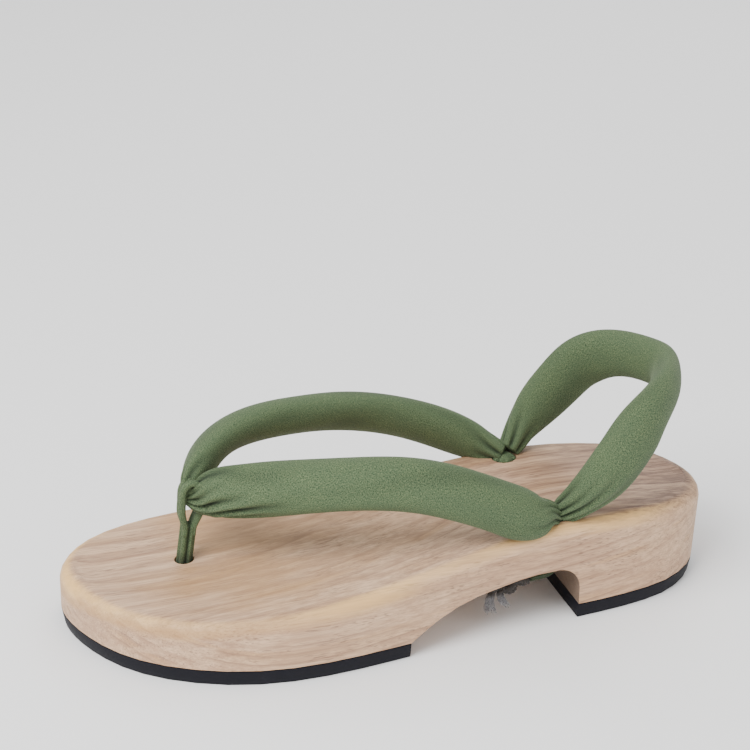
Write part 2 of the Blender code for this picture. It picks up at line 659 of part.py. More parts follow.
def main():
    for old in list(bpy.data.objects):
        bpy.data.objects.remove(old)
    parts = new_collection("geta_sandal")
    cutters = new_collection("cutters")
    finish(build_base(parts, cutters), (0.66, 0.47, 0.31), 0.55)
    heel = build_tread("heel_tread", -HEEL_SEAT, HEEL_FRONT, parts, cutters)
    forefoot = build_tread("forefoot_tread", FOREFOOT_START, LENGTH + HEEL_SEAT, parts, cutters)
    for tread in (heel, forefoot):
        finish(tread, (0.012, 0.012, 0.018), 0.8)
    finish(build_straps(parts, cutters), (0.17, 0.24, 0.12), 0.9)
    finish(toe_post("toe_post", parts, cutters), (0.17, 0.24, 0.12), 0.9)
    finish(build_tie_cord(parts, cutters), (0.45, 0.43, 0.42), 0.95)


main()
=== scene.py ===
"""Looks of the left geta sandal: grained pale wood, black rubber, padded green cloth and twine."""

import math

import bmesh
import bpy
import numpy as np
from mathutils import Matrix, Vector


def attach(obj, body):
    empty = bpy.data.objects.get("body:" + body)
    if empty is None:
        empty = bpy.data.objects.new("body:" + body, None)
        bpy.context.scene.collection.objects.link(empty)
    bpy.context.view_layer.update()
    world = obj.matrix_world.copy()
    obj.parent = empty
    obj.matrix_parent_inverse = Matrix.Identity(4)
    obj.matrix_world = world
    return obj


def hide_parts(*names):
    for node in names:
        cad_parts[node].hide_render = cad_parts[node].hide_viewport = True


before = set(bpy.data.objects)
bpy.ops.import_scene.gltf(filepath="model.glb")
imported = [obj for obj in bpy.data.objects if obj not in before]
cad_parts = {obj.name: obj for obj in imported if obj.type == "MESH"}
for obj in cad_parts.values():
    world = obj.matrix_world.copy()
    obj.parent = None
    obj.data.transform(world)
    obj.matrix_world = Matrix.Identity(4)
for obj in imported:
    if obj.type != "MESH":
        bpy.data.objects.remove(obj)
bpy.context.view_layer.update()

# Camera, in the frame's metres, with angles in degrees and the lens in millimetres. The slide moves
# it right and up in its own picture
CAMERA_AZIMUTH = 162.26
CAMERA_ELEVATION = 23.97
CAMERA_ROLL = 0.77
CAMERA_DISTANCE = 0.80146
CAMERA_AIM = Vector((0.095, 0.0, 0.020))
CAMERA_SLIDE = (-0.00659, 0.06602)
CAMERA_LENS = 100.8
CAMERA_SENSOR = 36
CAMERA_NEAREST = 0.01

# Places that the straps run between
V_POINT = np.array([0.1705, -0.0090, 0.0482])
OUTER_HOLE = np.array([0.0410, 0.0278, 0.0399])
INNER_HOLE = np.array([0.0410, -0.0249, 0.0399])
ARCH_ROOF = 0.0225

# Straps
STRAP_WIDTH = 0.0200
STRAP_THICKNESS = 0.0130
BRANCH_RISE = 0.0200
OUTER_BULGE = 0.0170
INNER_BULGE = 0.0210
LOOP_RISE = 0.0425
LOOP_BACK_X = -0.0130
LOOP_FLARE = 0.0067
# Folds of the cloth are darkened as painted shade in the creases
FOLD_SHADE_DEPTH = 0.0012  # depth at which a fold has its full dark tone
STRAP_UNEVEN = 0.00045
STRAP_SIDES = 84
BRANCH_STEPS = 230
LOOP_STEPS = 380
END_CROWDING = 0.4  # share by which sections crowd towards both ends

# The branches of the V from its point to a rear hole. along: share of the straight line between
# the ends. rise, bulge: shares of the named sizes. width, thick: shares of the strap's width and
# thickness. lean: degrees by which its outer face looks up from level
OUTER_BRANCH = (
    {"along": -0.016, "rise": -0.02, "bulge": -0.02, "width": 0.28, "thick": 0.24, "lean": 20},
    {"along": 0.00, "rise": 0.00, "bulge": 0.00, "width": 0.40, "thick": 0.30, "lean": 20},
    {"along": 0.045, "rise": 0.14, "bulge": 0.10, "width": 0.78, "thick": 0.74, "lean": 25},
    {"along": 0.10, "rise": 0.27, "bulge": 0.25, "width": 0.95, "thick": 0.94, "lean": 30},
    {"along": 0.18, "rise": 0.43, "bulge": 0.47, "width": 1.00, "thick": 1.00, "lean": 36},
    {"along": 0.26, "rise": 0.59, "bulge": 0.68, "width": 1.00, "thick": 1.00, "lean": 38},
    {"along": 0.36, "rise": 0.75, "bulge": 0.86, "width": 1.00, "thick": 1.00, "lean": 38},
    {"along": 0.47, "rise": 0.87, "bulge": 0.98, "width": 1.00, "thick": 1.00, "lean": 36},
    {"along": 0.58, "rise": 0.88, "bulge": 1.00, "width": 1.00, "thick": 1.00, "lean": 34},
    {"along": 0.70, "rise": 0.72, "bulge": 0.94, "width": 1.00, "thick": 1.00, "lean": 32},
    {"along": 0.81, "rise": 0.46, "bulge": 0.80, "width": 1.00, "thick": 0.96, "lean": 30},
    {"along": 0.90, "rise": 0.23, "bulge": 0.60, "width": 0.94, "thick": 0.88, "lean": 30},
    {"along": 0.935, "rise": 0.18, "bulge": 0.47, "width": 0.78, "thick": 0.80, "lean": 31},
    {"along": 0.965, "rise": 0.15, "bulge": 0.30, "width": 0.56, "thick": 0.68, "lean": 33},
    {"along": 1.00, "rise": 0.02, "bulge": 0.08, "width": 0.38, "thick": 0.54, "lean": 36},
)
INNER_BRANCH = (
    {"along": 0.00, "rise": 0.00, "bulge": 0.00, "width": 0.40, "thick": 0.30, "lean": 20},
    {"along": 0.020, "rise": 0.24, "bulge": 0.23, "width": 0.78, "thick": 0.71, "lean": 28},
    {"along": 0.060, "rise": 0.51, "bulge": 0.53, "width": 1.04, "thick": 0.94, "lean": 36},
    {"along": 0.13, "rise": 0.73, "bulge": 0.80, "width": 1.08, "thick": 1.00, "lean": 42},
    {"along": 0.24, "rise": 0.84, "bulge": 0.99, "width": 1.07, "thick": 1.00, "lean": 42},
    {"along": 0.36, "rise": 0.88, "bulge": 1.05, "width": 1.04, "thick": 1.00, "lean": 40},
    {"along": 0.49, "rise": 0.90, "bulge": 1.04, "width": 1.00, "thick": 1.00, "lean": 36},
    {"along": 0.62, "rise": 0.80, "bulge": 0.98, "width": 1.00, "thick": 1.00, "lean": 33},
    {"along": 0.74, "rise": 0.60, "bulge": 0.84, "width": 1.00, "thick": 0.98, "lean": 31},
    {"along": 0.85, "rise": 0.34, "bulge": 0.64, "width": 0.98, "thick": 0.92, "lean": 30},
    {"along": 0.94, "rise": 0.11, "bulge": 0.36, "width": 0.80, "thick": 0.80, "lean": 32},
    {"along": 1.00, "rise": 0.00, "bulge": 0.06, "width": 0.46, "thick": 0.62, "lean": 36},
)

# Half of the loop behind the heel, from a rear hole to the back. back: share of the way from the
# holes to the back. rise, spread: shares of the loop's rise and of its widest reach. facing: degrees
# by which the outer face turns from sideways to backwards. lean: degrees by which it looks up
HEEL_HALF = (
    {"back": 0.045, "rise": 0.05, "spread": 0.84, "width": 0.44, "thick": 0.60, "facing": 0, "lean": 30},
    {"back": 0.125, "rise": 0.155, "spread": 0.91, "width": 0.61, "thick": 0.76, "facing": 0, "lean": 18},
    {"back": 0.215, "rise": 0.28, "spread": 0.97, "width": 0.82, "thick": 0.88, "facing": 0, "lean": 8},
    {"back": 0.335, "rise": 0.445, "spread": 1.00, "width": 1.02, "thick": 0.92, "facing": 0, "lean": 2},
    {"back": 0.465, "rise": 0.64, "spread": 0.98, "width": 1.10, "thick": 0.90, "facing": 2, "lean": 0},
    {"back": 0.585, "rise": 0.815, "spread": 0.92, "width": 1.11, "thick": 0.88, "facing": 10, "lean": 0},
    {"back": 0.71, "rise": 0.925, "spread": 0.79, "width": 1.03, "thick": 0.88, "facing": 30, "lean": 0},
    {"back": 0.86, "rise": 0.985, "spread": 0.53, "width": 0.94, "thick": 0.88, "facing": 56, "lean": 0},
    {"back": 0.96, "rise": 0.995, "spread": 0.25, "width": 0.92, "thick": 0.86, "facing": 77, "lean": 0},
)

# Pleats. start, end: millimetres from the strap's first end. side, turn: degrees round the section
# at the start, and how far the pleat turns by its end. depth, breadth: millimetres and degrees
POINT_PLEATS = (
    {"start": 0, "end": 20, "side": 74, "turn": 30, "depth": 1.5, "breadth": 8},
    {"start": 0, "end": 30, "side": 50, "turn": 22, "depth": 2.9, "breadth": 7},
    {"start": 0, "end": 44, "side": 27, "turn": 12, "depth": 3.5, "breadth": 7},
    {"start": 0, "end": 40, "side": 5, "turn": 6, "depth": 3.1, "breadth": 7},
    {"start": 0, "end": 16, "side": 104, "turn": 22, "depth": 1.2, "breadth": 8},
    {"start": 0, "end": 26, "side": 148, "turn": -12, "depth": 1.3, "breadth": 11},
    {"start": 0, "end": 24, "side": 205, "turn": 8, "depth": 1.5, "breadth": 12},
    {"start": 0, "end": 22, "side": 262, "turn": -8, "depth": 1.5, "breadth": 12},
    {"start": 0, "end": 28, "side": 318, "turn": 8, "depth": 1.6, "breadth": 12},
)
INNER_PLEATS = (
    {"start": 0, "end": 13, "side": 20, "turn": 8, "depth": 1.0, "breadth": 9},
    {"start": 0, "end": 14, "side": 60, "turn": -6, "depth": 0.8, "breadth": 9},
    {"start": 0, "end": 12, "side": 100, "turn": 6, "depth": 0.8, "breadth": 9},
    {"start": 0, "end": 13, "side": 150, "turn": 6, "depth": 0.9, "breadth": 11},
    {"start": 0, "end": 14, "side": 215, "turn": 8, "depth": 1.0, "breadth": 12},
    {"start": 0, "end": 15, "side": 285, "turn": -8, "depth": 1.0, "breadth": 12},
    {"start": 0, "end": 16, "side": 335, "turn": 6, "depth": 1.0, "breadth": 11},
)
HOLE_PLEATS = (
    {"start": -2, "end": 13, "side": 28, "turn": 6, "depth": 1.0, "breadth": 8},
    {"start": -2, "end": 20, "side": 62, "turn": -5, "depth": 1.3, "breadth": 7},
    {"start": -2, "end": 15, "side": 88, "turn": 8, "depth": 1.2, "breadth": 7},
    {"start": -2, "end": 22, "side": 116, "turn": -6, "depth": 1.3, "breadth": 7},
    {"start": -2, "end": 14, "side": 142, "turn": 5, "depth": 1.1, "breadth": 8},
    {"start": -2, "end": 17, "side": 178, "turn": 5, "depth": 1.2, "breadth": 11},
    {"start": -2, "end": 20, "side": 228, "turn": 6, "depth": 1.3, "breadth": 13},
    {"start": -2, "end": 18, "side": 282, "turn": -6, "depth": 1.3, "breadth": 13},
    {"start": -2, "end": 16, "side": 330, "turn": 6, "depth": 1.2, "breadth": 11},
)
HEEL_PLEATS = (
    {"start": -2, "end": 36, "side": 74, "turn": 20, "depth": 1.3, "breadth": 8},
    {"start": -2, "end": 24, "side": 104, "turn": 12, "depth": 1.4, "breadth": 8},
    {"start": -2, "end": 30, "side": 42, "turn": 4, "depth": 1.2, "breadth": 9},
    {"start": -2, "end": 18, "side": 12, "turn": 4, "depth": 1.2, "breadth": 10},
    {"start": -2, "end": 20, "side": 150, "turn": 8, "depth": 1.2, "breadth": 11},
    {"start": -2, "end": 22, "side": 215, "turn": -6, "depth": 1.3, "breadth": 13},
    {"start": -2, "end": 20, "side": 270, "turn": 6, "depth": 1.3, "breadth": 13},
    {"start": -2, "end": 18, "side": 320, "turn": -5, "depth": 1.2, "breadth": 11},
)


def spline(knots, values, at):
    """Natural cubic spline through rows of values."""
    knots = np.asarray(knots, float)
    values = np.asarray(values, float)
    count = len(knots)
    step = np.diff(knots)
    slope = np.diff(values, axis=0) / step[:, None]
    matrix = np.eye(count)
    right = np.zeros_like(values)
    for i in range(1, count - 1):
        matrix[i, i - 1 : i + 2] = step[i - 1], 2 * (step[i - 1] + step[i]), step[i]
        right[i] = 6 * (slope[i] - slope[i - 1])
    bend = np.linalg.solve(matrix, right)
    i = np.clip(np.searchsorted(knots, at, side="right") - 1, 0, count - 2)
    past = (at - knots[i])[:, None]
    left = (knots[i + 1] - at)[:, None]
    width = step[i][:, None]
    return (
        (bend[i] * left**3 + bend[i + 1] * past**3) / (6 * width)
        + (values[i] / width - bend[i] * width / 6) * left
        + (values[i + 1] / width - bend[i + 1] * width / 6) * past
    )


def select_only(piece):
    bpy.ops.object.select_all(action="DESELECT")
    piece.select_set(True)
    bpy.context.view_layer.objects.active = piece


def in_edit_mode(piece, work):
    select_only(piece)
    bpy.ops.object.mode_set(mode="EDIT")
    bpy.ops.mesh.select_all(action="SELECT")
    work()
    bpy.ops.object.mode_set(mode="OBJECT")


# Finish of the rigid pieces, in metres and degrees
WOOD_EDGE = 0.0005
RUBBER_EDGE = 0.0004
EDGE_SEGMENTS = 2
SHARP_ANGLE = 50
FLAT_ANGLE = 0.4
SMOOTH_ANGLE = 35
SAME_POINT = 1e-6
WOOD_SAME_POINT = 0.0003


def soften_edges(piece, width):
    """Rounds the sharp edges slightly."""
    select_only(piece)
    bevel = piece.modifiers.new("edge", "BEVEL")
    bevel.width = width
    bevel.segments = EDGE_SEGMENTS
    bevel.limit_method = "ANGLE"
    bevel.angle_limit = math.radians(SHARP_ANGLE)
    bevel.use_clamp_overlap = True
    bpy.ops.object.modifier_apply(modifier=bevel.name)


def finished_copy(node, name, material, edge, merge=SAME_POINT):
    """A copy of a solid, joined into one skin, with softened edges and its own finish."""
    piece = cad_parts[node].copy()
    piece.data = piece.data.copy()
    piece.name = name
    piece.parent = None
    for key in list(piece.keys()):
        del piece[key]
    bpy.context.scene.collection.objects.link(piece)
    in_edit_mode(piece, lambda: bpy.ops.mesh.remove_doubles(threshold=merge))
    in_edit_mode(piece, lambda: bpy.ops.mesh.dissolve_limited(angle_limit=math.radians(FLAT_ANGLE)))
    soften_edges(piece, edge)
    in_edit_mode(piece, lambda: bpy.ops.mesh.remove_doubles(threshold=merge / 3))
    bpy.ops.object.shade_smooth_by_angle(angle=math.radians(SMOOTH_ANGLE))
    dress(piece, material)
    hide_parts(node)
    return piece


# The height at which the base's wall turns into its rounded rim, along X, is the lower of a line
# that rises from the heel and one that falls to the toe. The outline is read from the wall below it
RIM_FROM_HEEL = 0.0377
RIM_HEEL_SLOPE = 0.070
RIM_FROM_TOE = 0.0432
RIM_TOE_SLOPE = -0.098
WALL_BAND = 0.0085
WALL_FOOT = ARCH_ROOF - 0.0070
WALL_LEVEL = 0.35
CLEAR_OF_HOLES = 0.0075
LEAST_SPAN = 1e-12
BASE_MIDDLE = (0.09, 0.0)


def mark_inset(piece):
    """Keeps how far each point of the base lies in from its outline, seen from above."""
    data = piece.data
    points = np.array([vertex.co for vertex in data.vertices])
    along = points[:, 0]
    level = np.array([abs(vertex.normal.z) < WALL_LEVEL for vertex in data.vertices])
    on_wall = level & (points[:, 2] > WALL_FOOT)
    for hole in (OUTER_HOLE, INNER_HOLE, V_POINT):
        on_wall &= np.linalg.norm(points[:, :2] - hole[:2], axis=1) > CLEAR_OF_HOLES
    rim = np.minimum(RIM_FROM_HEEL + RIM_HEEL_SLOPE * along, RIM_FROM_TOE + RIM_TOE_SLOPE * along)
    on_wall &= points[:, 2] > rim - WALL_BAND
    ring = points[on_wall, :2]
    middle = np.array(BASE_MIDDLE)
    ring = ring[np.argsort(np.arctan2(ring[:, 1] - middle[1], ring[:, 0] - middle[0]))]
    ahead = np.roll(ring, -1, axis=0) - ring
    span = np.maximum(np.sum(ahead**2, axis=1), LEAST_SPAN)
    away = points[:, None, :2] - ring[None]
    share = np.clip(np.sum(away * ahead[None], axis=2) / span[None], 0, 1)
    inset = np.min(np.linalg.norm(away - share[:, :, None] * ahead[None], axis=2), axis=1)
    kept = data.attributes.new("inset", "FLOAT", "POINT")
    kept.data.foreach_set("value", inset)


def dress(piece, material):
    piece.data.materials.clear()
    piece.data.materials.append(material)
    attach(piece, "root")


def mesh_piece(name, mesh):
    """A new object from mesh data, facing outwards and smooth."""
    bmesh.ops.recalc_face_normals(mesh, faces=mesh.faces)
    data = bpy.data.meshes.new(name)
    mesh.to_mesh(data)
    mesh.free()
    piece = bpy.data.objects.new(name, data)
    bpy.context.scene.collection.objects.link(piece)
    data.shade_smooth()
    return piece


def tube(name, path, thin, width, thickness, offset):
    """Closed tube with oval sections and a UV map in metres. offset is how far each point stands
    out of the plain oval, one row a section, and deep folds are kept as an attribute for painted shade in
    the creases."""
    tangents = np.gradient(path, axis=0)
    tangents /= np.linalg.norm(tangents, axis=1)[:, None]
    thin = thin - tangents * np.sum(thin * tangents, axis=1)[:, None]
    thin /= np.linalg.norm(thin, axis=1)[:, None]
    wide = np.cross(tangents, thin)
    count, sides = offset.shape
    angles = np.linspace(0, 2 * math.pi, sides, endpoint=False)
    lengths = lengths_along(path)
    mesh = bmesh.new()
    uv = mesh.loops.layers.uv.new("cloth")
    fold = mesh.verts.layers.float.new("fold")
    rings = []
    for i in range(count):
        ring = []
        for j, angle in enumerate(angles):
            across = math.cos(angle) * (width[i] / 2 + offset[i, j])
            outward = math.sin(angle) * (thickness[i] / 2 + offset[i, j])
            ring.append(mesh.verts.new(path[i] + wide[i] * across + thin[i] * outward))
            ring[-1][fold] = min(1.0, max(0.0, -offset[i, j] / FOLD_SHADE_DEPTH))
        rings.append(ring)
    girth = math.pi * (float(width.max()) + float(thickness.max())) / 2
    for i in range(count - 1):
        for j in range(sides):
            k = (j + 1) % sides
            face = mesh.faces.new((rings[i][j], rings[i][k], rings[i + 1][k], rings[i + 1][j]))
            corners = ((i, j), (i, j + 1), (i + 1, j + 1), (i + 1, j))
            for loop, (row, turn) in zip(face.loops, corners):
                loop[uv].uv = (lengths[row], girth * turn / sides)
    for ring in (rings[0][::-1], rings[-1]):
        bmesh.ops.poke(mesh, faces=[mesh.faces.new(ring)])
    return mesh_piece(name, mesh)


# A pleat's section. The banks beside it stand out, and are shares of its breadth and depth
PLEAT_NARROW = 0.7
PLEAT_WIDENING = 0.9
PLEAT_FADE = 1.2
PLEAT_EASE = 4
BANK_AWAY = 1.9
BANK_BREADTH = 1.1
BANK_HEIGHT = 0.35


def pleats(rows, distance, angles):
    """How far pleats pull a tube's skin in, for each section and each point round it."""
    pull = np.zeros((len(distance), len(angles)))
    degrees = np.degrees(angles)
    for row in rows:
        share = np.clip((distance * 1000 - row["start"]) / (row["end"] - row["start"]), 0, 1)
        middle = row["side"] + row["turn"] * share
        away = (degrees[None, :] - middle[:, None] + 180) % 360 - 180
        breadth = (row["breadth"] * (PLEAT_NARROW + PLEAT_WIDENING * share))[:, None]
        fold = np.exp(-((away / breadth) ** 2))
        bank = np.exp(-(((np.abs(away) - BANK_AWAY * breadth) / (BANK_BREADTH * breadth)) ** 2))
        ease = np.clip((distance * 1000 - row["start"]) / PLEAT_EASE, 0, 1)
        fade = (1 - share) ** PLEAT_FADE * ease
        pull -= row["depth"] / 1000 * fade[:, None] * (fold - BANK_HEIGHT * bank)
    return pull


DENT_WAVES = 14
DENT_RATES = (35, 150)
DENT_TURNS = (1, 5)
DENT_PEAK = 2.6


def dents(distance, angles, depth, seed):
    """Slow unevenness of the padding."""
    dice = np.random.default_rng(seed)
    height = np.zeros((len(distance), len(angles)))
    for _ in range(DENT_WAVES):
        wave = dice.uniform(*DENT_RATES)
        turns = dice.integers(*DENT_TURNS)
        phase = dice.uniform(0, 2 * math.pi, 2)
        along = np.sin(distance * wave + phase[0])[:, None]
        height += along * np.sin(angles * turns + phase[1])[None, :] / DENT_WAVES
    return height * depth * DENT_PEAK


def lengths_along(path):
    """Distance along a path of points, from its first one to each."""
    return np.concatenate([[0], np.cumsum(np.linalg.norm(np.diff(path, axis=0), axis=1))])


def groove(angles, middle, breadth, depth):
    """A groove along a tube. middle, breadth: degrees round its section."""
    return -depth * np.exp(-((np.degrees(angles) - middle) / breadth) ** 2)


def padded_strap(name, rows, steps, first_pleats, last_pleats, seed, material):
    """A padded cloth tube, gathered at both ends."""
    sections = np.array([np.hstack(row) for row in rows], float)
    knots = lengths_along(sections[:, :3])
    even = np.linspace(0, 1, steps)
    crowded = (1 - np.cos(even * math.pi)) / 2
    at = knots[-1] * (END_CROWDING * crowded + (1 - END_CROWDING) * even)
    smooth = spline(knots, sections, at)
    angles = np.linspace(0, 2 * math.pi, STRAP_SIDES, endpoint=False)
    offset = dents(at, angles, STRAP_UNEVEN, seed)
    offset += pleats(first_pleats, at, angles)
    offset += pleats(last_pleats, knots[-1] - at, angles)
    piece = tube(name, smooth[:, :3], smooth[:, 3:6], smooth[:, 6], smooth[:, 7], offset)
    dress(piece, material)
    return piece


def branch_rows(table, hole, side, bulge):
    rows = []
    for row in table:
        centre = V_POINT + (hole - V_POINT) * row["along"]
        centre = centre + np.array([0, side * bulge * row["bulge"], BRANCH_RISE * row["rise"]])
        lean = math.radians(row["lean"])
        outward = (0, side * math.cos(lean), math.sin(lean))
        rows.append((centre, outward, row["width"] * STRAP_WIDTH, row["thick"] * STRAP_THICKNESS))
    return rows


def heel_rows():
    halves = []
    for side, hole in ((1, OUTER_HOLE), (-1, INNER_HOLE)):
        rows = []
        widest = hole[1] + side * LOOP_FLARE
        for row in HEEL_HALF:
            x = hole[0] + (LOOP_BACK_X - hole[0]) * row["back"]
            centre = (x, widest * row["spread"], hole[2] + LOOP_RISE * row["rise"])
            facing = math.radians(row["facing"])
            lean = math.radians(row["lean"])
            level = (-math.sin(facing), side * math.cos(facing))
            outward = (level[0] * math.cos(lean), level[1] * math.cos(lean), math.sin(lean))
            size = (row["width"] * STRAP_WIDTH, row["thick"] * STRAP_THICKNESS)
            rows.append((centre, outward, *size))
        halves.append(rows)
    last = HEEL_HALF[-1]
    back = (LOOP_BACK_X, 0, OUTER_HOLE[2] + LOOP_RISE)
    middle = [(back, (-1, 0, 0), last["width"] * STRAP_WIDTH, last["thick"] * STRAP_THICKNESS)]
    return halves[0] + middle + halves[1][::-1]


# The gathered cloth from a rear hole to its end under the arch. forward, outward: millimetres from
# the hole. height: millimetres above the middle line of the tail. facing: degrees from backwards to
# downwards. width, thick: millimetres
GATHERED_END = (
    {"forward": 0.0, "outward": 0.0, "height": 22.2, "width": 3.4, "thick": 3.4, "facing": 0},
    {"forward": 0.0, "outward": 0.0, "height": 21.2, "width": 7.0, "thick": 7.0, "facing": 0},
    {"forward": 0.0, "outward": 0.0, "height": 19.0, "width": 8.8, "thick": 8.8, "facing": 0},
    {"forward": 0.0, "outward": 0.0, "height": 14.0, "width": 8.4, "thick": 8.4, "facing": 0},
    {"forward": 0.0, "outward": 0.0, "height": 6.0, "width": 8.4, "thick": 8.4, "facing": 0},
    {"forward": 0.0, "outward": 0.0, "height": 2.0, "width": 7.4, "thick": 7.4, "facing": 0},
    {"forward": 3.0, "outward": 1.0, "height": -0.8, "width": 7.8, "thick": 5.8, "facing": 45},
    {"forward": 7.5, "outward": 2.0, "height": -0.8, "width": 7.6, "thick": 5.8, "facing": 90},
    {"forward": 11.0, "outward": 3.0, "height": -1.4, "width": 5.4, "thick": 4.6, "facing": 90},
)
TAIL_BELOW_ROOF = 0.0032
TAIL_STEPS = 90
TAIL_SIDES = 60
TAIL_RIPPLE = 0.00022
TAIL_RIPPLES = (5, 8, 11)
TAIL_TWIST = 120


def gathered_end(name, hole, side, seed, material):
    """The strap's end, gathered through the hole and tied off along the roof of the arch."""
    middle = ARCH_ROOF - TAIL_BELOW_ROOF
    rows = []
    for row in GATHERED_END:
        centre = (
            hole[0] + row["forward"] / 1000,
            hole[1] + side * row["outward"] / 1000,
            middle + row["height"] / 1000,
        )
        facing = math.radians(row["facing"])
        outward = (-math.cos(facing), 0, -math.sin(facing))
        rows.append((centre, outward, row["width"] / 1000, row["thick"] / 1000))
    sections = np.array([np.hstack(row) for row in rows], float)
    knots = lengths_along(sections[:, :3])
    at = np.linspace(0, knots[-1], TAIL_STEPS)
    smooth = spline(knots, sections, at)
    angles = np.linspace(0, 2 * math.pi, TAIL_SIDES, endpoint=False)
    dice = np.random.default_rng(seed)
    offset = np.zeros((len(at), len(angles)))
    for turns in TAIL_RIPPLES:
        phase = dice.uniform(0, 2 * math.pi)
        offset += TAIL_RIPPLE * np.sin(angles[None, :] * turns + phase + at[:, None] * TAIL_TWIST)
    piece = tube(name, smooth[:, :3], smooth[:, 3:6], smooth[:, 6], smooth[:, 7], offset)
    dress(piece, material)


# The toe post's front half, in millimetres. out: forward of the V's point. up: above it
POST_FRONT = (
    {"out": 1.6, "up": -14.6, "thick": 2.4},
    {"out": 1.6, "up": -11.6, "thick": 2.4},
    {"out": 3.2, "up": -6.4, "thick": 3.0},
    {"out": 3.6, "up": -1.7, "thick": 3.0},
    {"out": 3.5, "up": 2.6, "thick": 3.0},
    {"out": 2.1, "up": 5.3, "thick": 3.0},
)
POST_TOP = 6.15
POST_THICKNESS = 3.0
POST_WIDTH = 0.0060
POST_FOOT = 0.0072
POST_LEAN = 0.0035
POST_MOUTH = 0.0225  # height of the hole's mouth in the footbed
POST_STEPS = 170
POST_SIDES = 48
POST_SQUARE = 0.0004  # how far the strip's corners stand out of an oval
POST_UNEVEN = 0.00022
HEM = {"middle": 48, "breadth": 9, "depth": 0.00035}
SEAM = {"middle": 180, "breadth": 14, "depth": 0.0004}
STEM_TOP = 0.0108  # below the V's point
STEM_STEPS = 60
STEM_DEEP = 0.0056
STEM_RIPPLE = 0.00030
STEM_CREASES = (
    {"middle": 90, "breadth": 12, "depth": 0.0009},
    {"middle": 270, "breadth": 12, "depth": 0.0009},
)


def post_lean(height):
    """How far the post lies forward of the V's point at a height."""
    share = (V_POINT[2] - height) / (V_POINT[2] - POST_MOUTH)
    return POST_LEAN * np.clip(share, 0, 1)


def toe_post(material):
    """The narrow cloth strip over the V's point, and its doubled stem down to the toe hole."""
    rows = [(row["out"], row["up"], row["thick"]) for row in POST_FRONT]
    rows += [(0, POST_TOP, POST_THICKNESS)] + [(-out, up, thick) for out, up, thick in rows[::-1]]
    places = [(V_POINT[0] + out / 1000, V_POINT[1], V_POINT[2] + up / 1000) for out, up, _ in rows]
    centres = np.array(places)
    centres[:, 0] += post_lean(centres[:, 2])
    knots = lengths_along(centres)
    at = np.linspace(0, knots[-1], POST_STEPS)
    widths = np.array([thick / 1000 for _, _, thick in rows])
    smooth = spline(knots, np.column_stack([centres, widths]), at)
    sideways = np.tile((0.0, 1.0, 0.0), (len(at), 1))
    angles = np.linspace(0, 2 * math.pi, POST_SIDES, endpoint=False)
    section = POST_SQUARE * np.sin(2 * angles) ** 2 + groove(angles, **SEAM) + groove(angles, **HEM)
    offset = np.tile(section, (len(at), 1)) + dents(at, angles, POST_UNEVEN, seed=5)
    thin = smooth[:, 3] - POST_SQUARE
    wide = np.full(len(at), POST_WIDTH)
    loop = tube("toe_post_loop", smooth[:, :3], sideways, thin, wide, offset)
    dress(loop, material)
    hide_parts("toe_post")
    height = np.linspace(POST_FOOT, V_POINT[2] - STEM_TOP, STEM_STEPS)
    path = np.column_stack([V_POINT[0] + post_lean(height), np.full(STEM_STEPS, V_POINT[1]), height])
    section = STEM_RIPPLE * np.sin(angles * 6 + 0.5)
    section = section + (groove(angles, **STEM_CREASES[0]) + groove(angles, **STEM_CREASES[1]))
    stem = tube(
        "toe_post_stem",
        path,
        np.tile((0.0, 1.0, 0.0), (STEM_STEPS, 1)),
        np.full(STEM_STEPS, STEM_DEEP),
        np.full(STEM_STEPS, POST_WIDTH),
        np.tile(section, (STEM_STEPS, 1)),
    )
    dress(stem, material)


# Twine, in metres and radians. Knots lie ahead and outward of a rear hole. ring: radius of a wrap.
# place: from the outer knot. grown: size of its wraps. forward, lean, drop: how far a frayed end
# reaches ahead, leans on from there, and hangs. half: half its breadth
TWINE_RADIUS = 0.0013
TWINE_STRANDS = 3
STRAND_RADIUS = TWINE_RADIUS * 0.5
WRAP_RADIUS = TWINE_RADIUS * 0.9
TWINE_HEIGHT = 0.0179
TWINE_PITCH = 0.0055
KNOT_AHEAD = 0.0153
KNOT_OUTWARD = 0.003
KNOT_SHARES = (0, 0.2, 0.5, 0.8, 1)
KNOT_PITCH = 0.004
KNOT_TURNS = 1.15
KNOT_POINTS = 26
KNOT_WAVE = 0.35
KNOT_WRAPS = (
    {"ring": 0.0024, "tilt": 0.2},
    {"ring": 0.0021, "tilt": 1.2},
    {"ring": 0.0017, "tilt": 2.1},
)
SIDE_KNOTS = (
    {"place": (0.0034, 0.0006, -0.0016), "seed": 5, "grown": 1.25},
    {"place": (-0.0018, 0.0010, -0.0003), "seed": 6, "grown": 0.95},
)
TWINE_ENDS = (
    {"forward": 0.0102, "lean": 0.0002, "drop": 0.0124, "half": 0.0019},
    {"forward": 0.0066, "lean": -0.0024, "drop": 0.0104, "half": 0.0015},
)
FRAY_SEED = 11
FIBRES = 90
FIBRE_RADIUS = 0.00013
FIBRE_TAPER = 0.6
FIBRE_POINTS = 7
FIBRE_ROOT = (0.001, 0.003)
FIBRE_DEPTH = 0.0005
ROOT_BREADTH = 0.55
ROOT_DEPTH = 0.6
FIBRE_SPREAD = 0.6
FIBRE_SHAKE = 0.00012
SHORT_BY = 0.0016
LONG_BY = 0.0012
LONG_SHARE = 0.2
LAY_STEP = 0.0004
LAY_REACH = 0.52
LAY_ACROSS = (0.3, 0.2, 1.0)


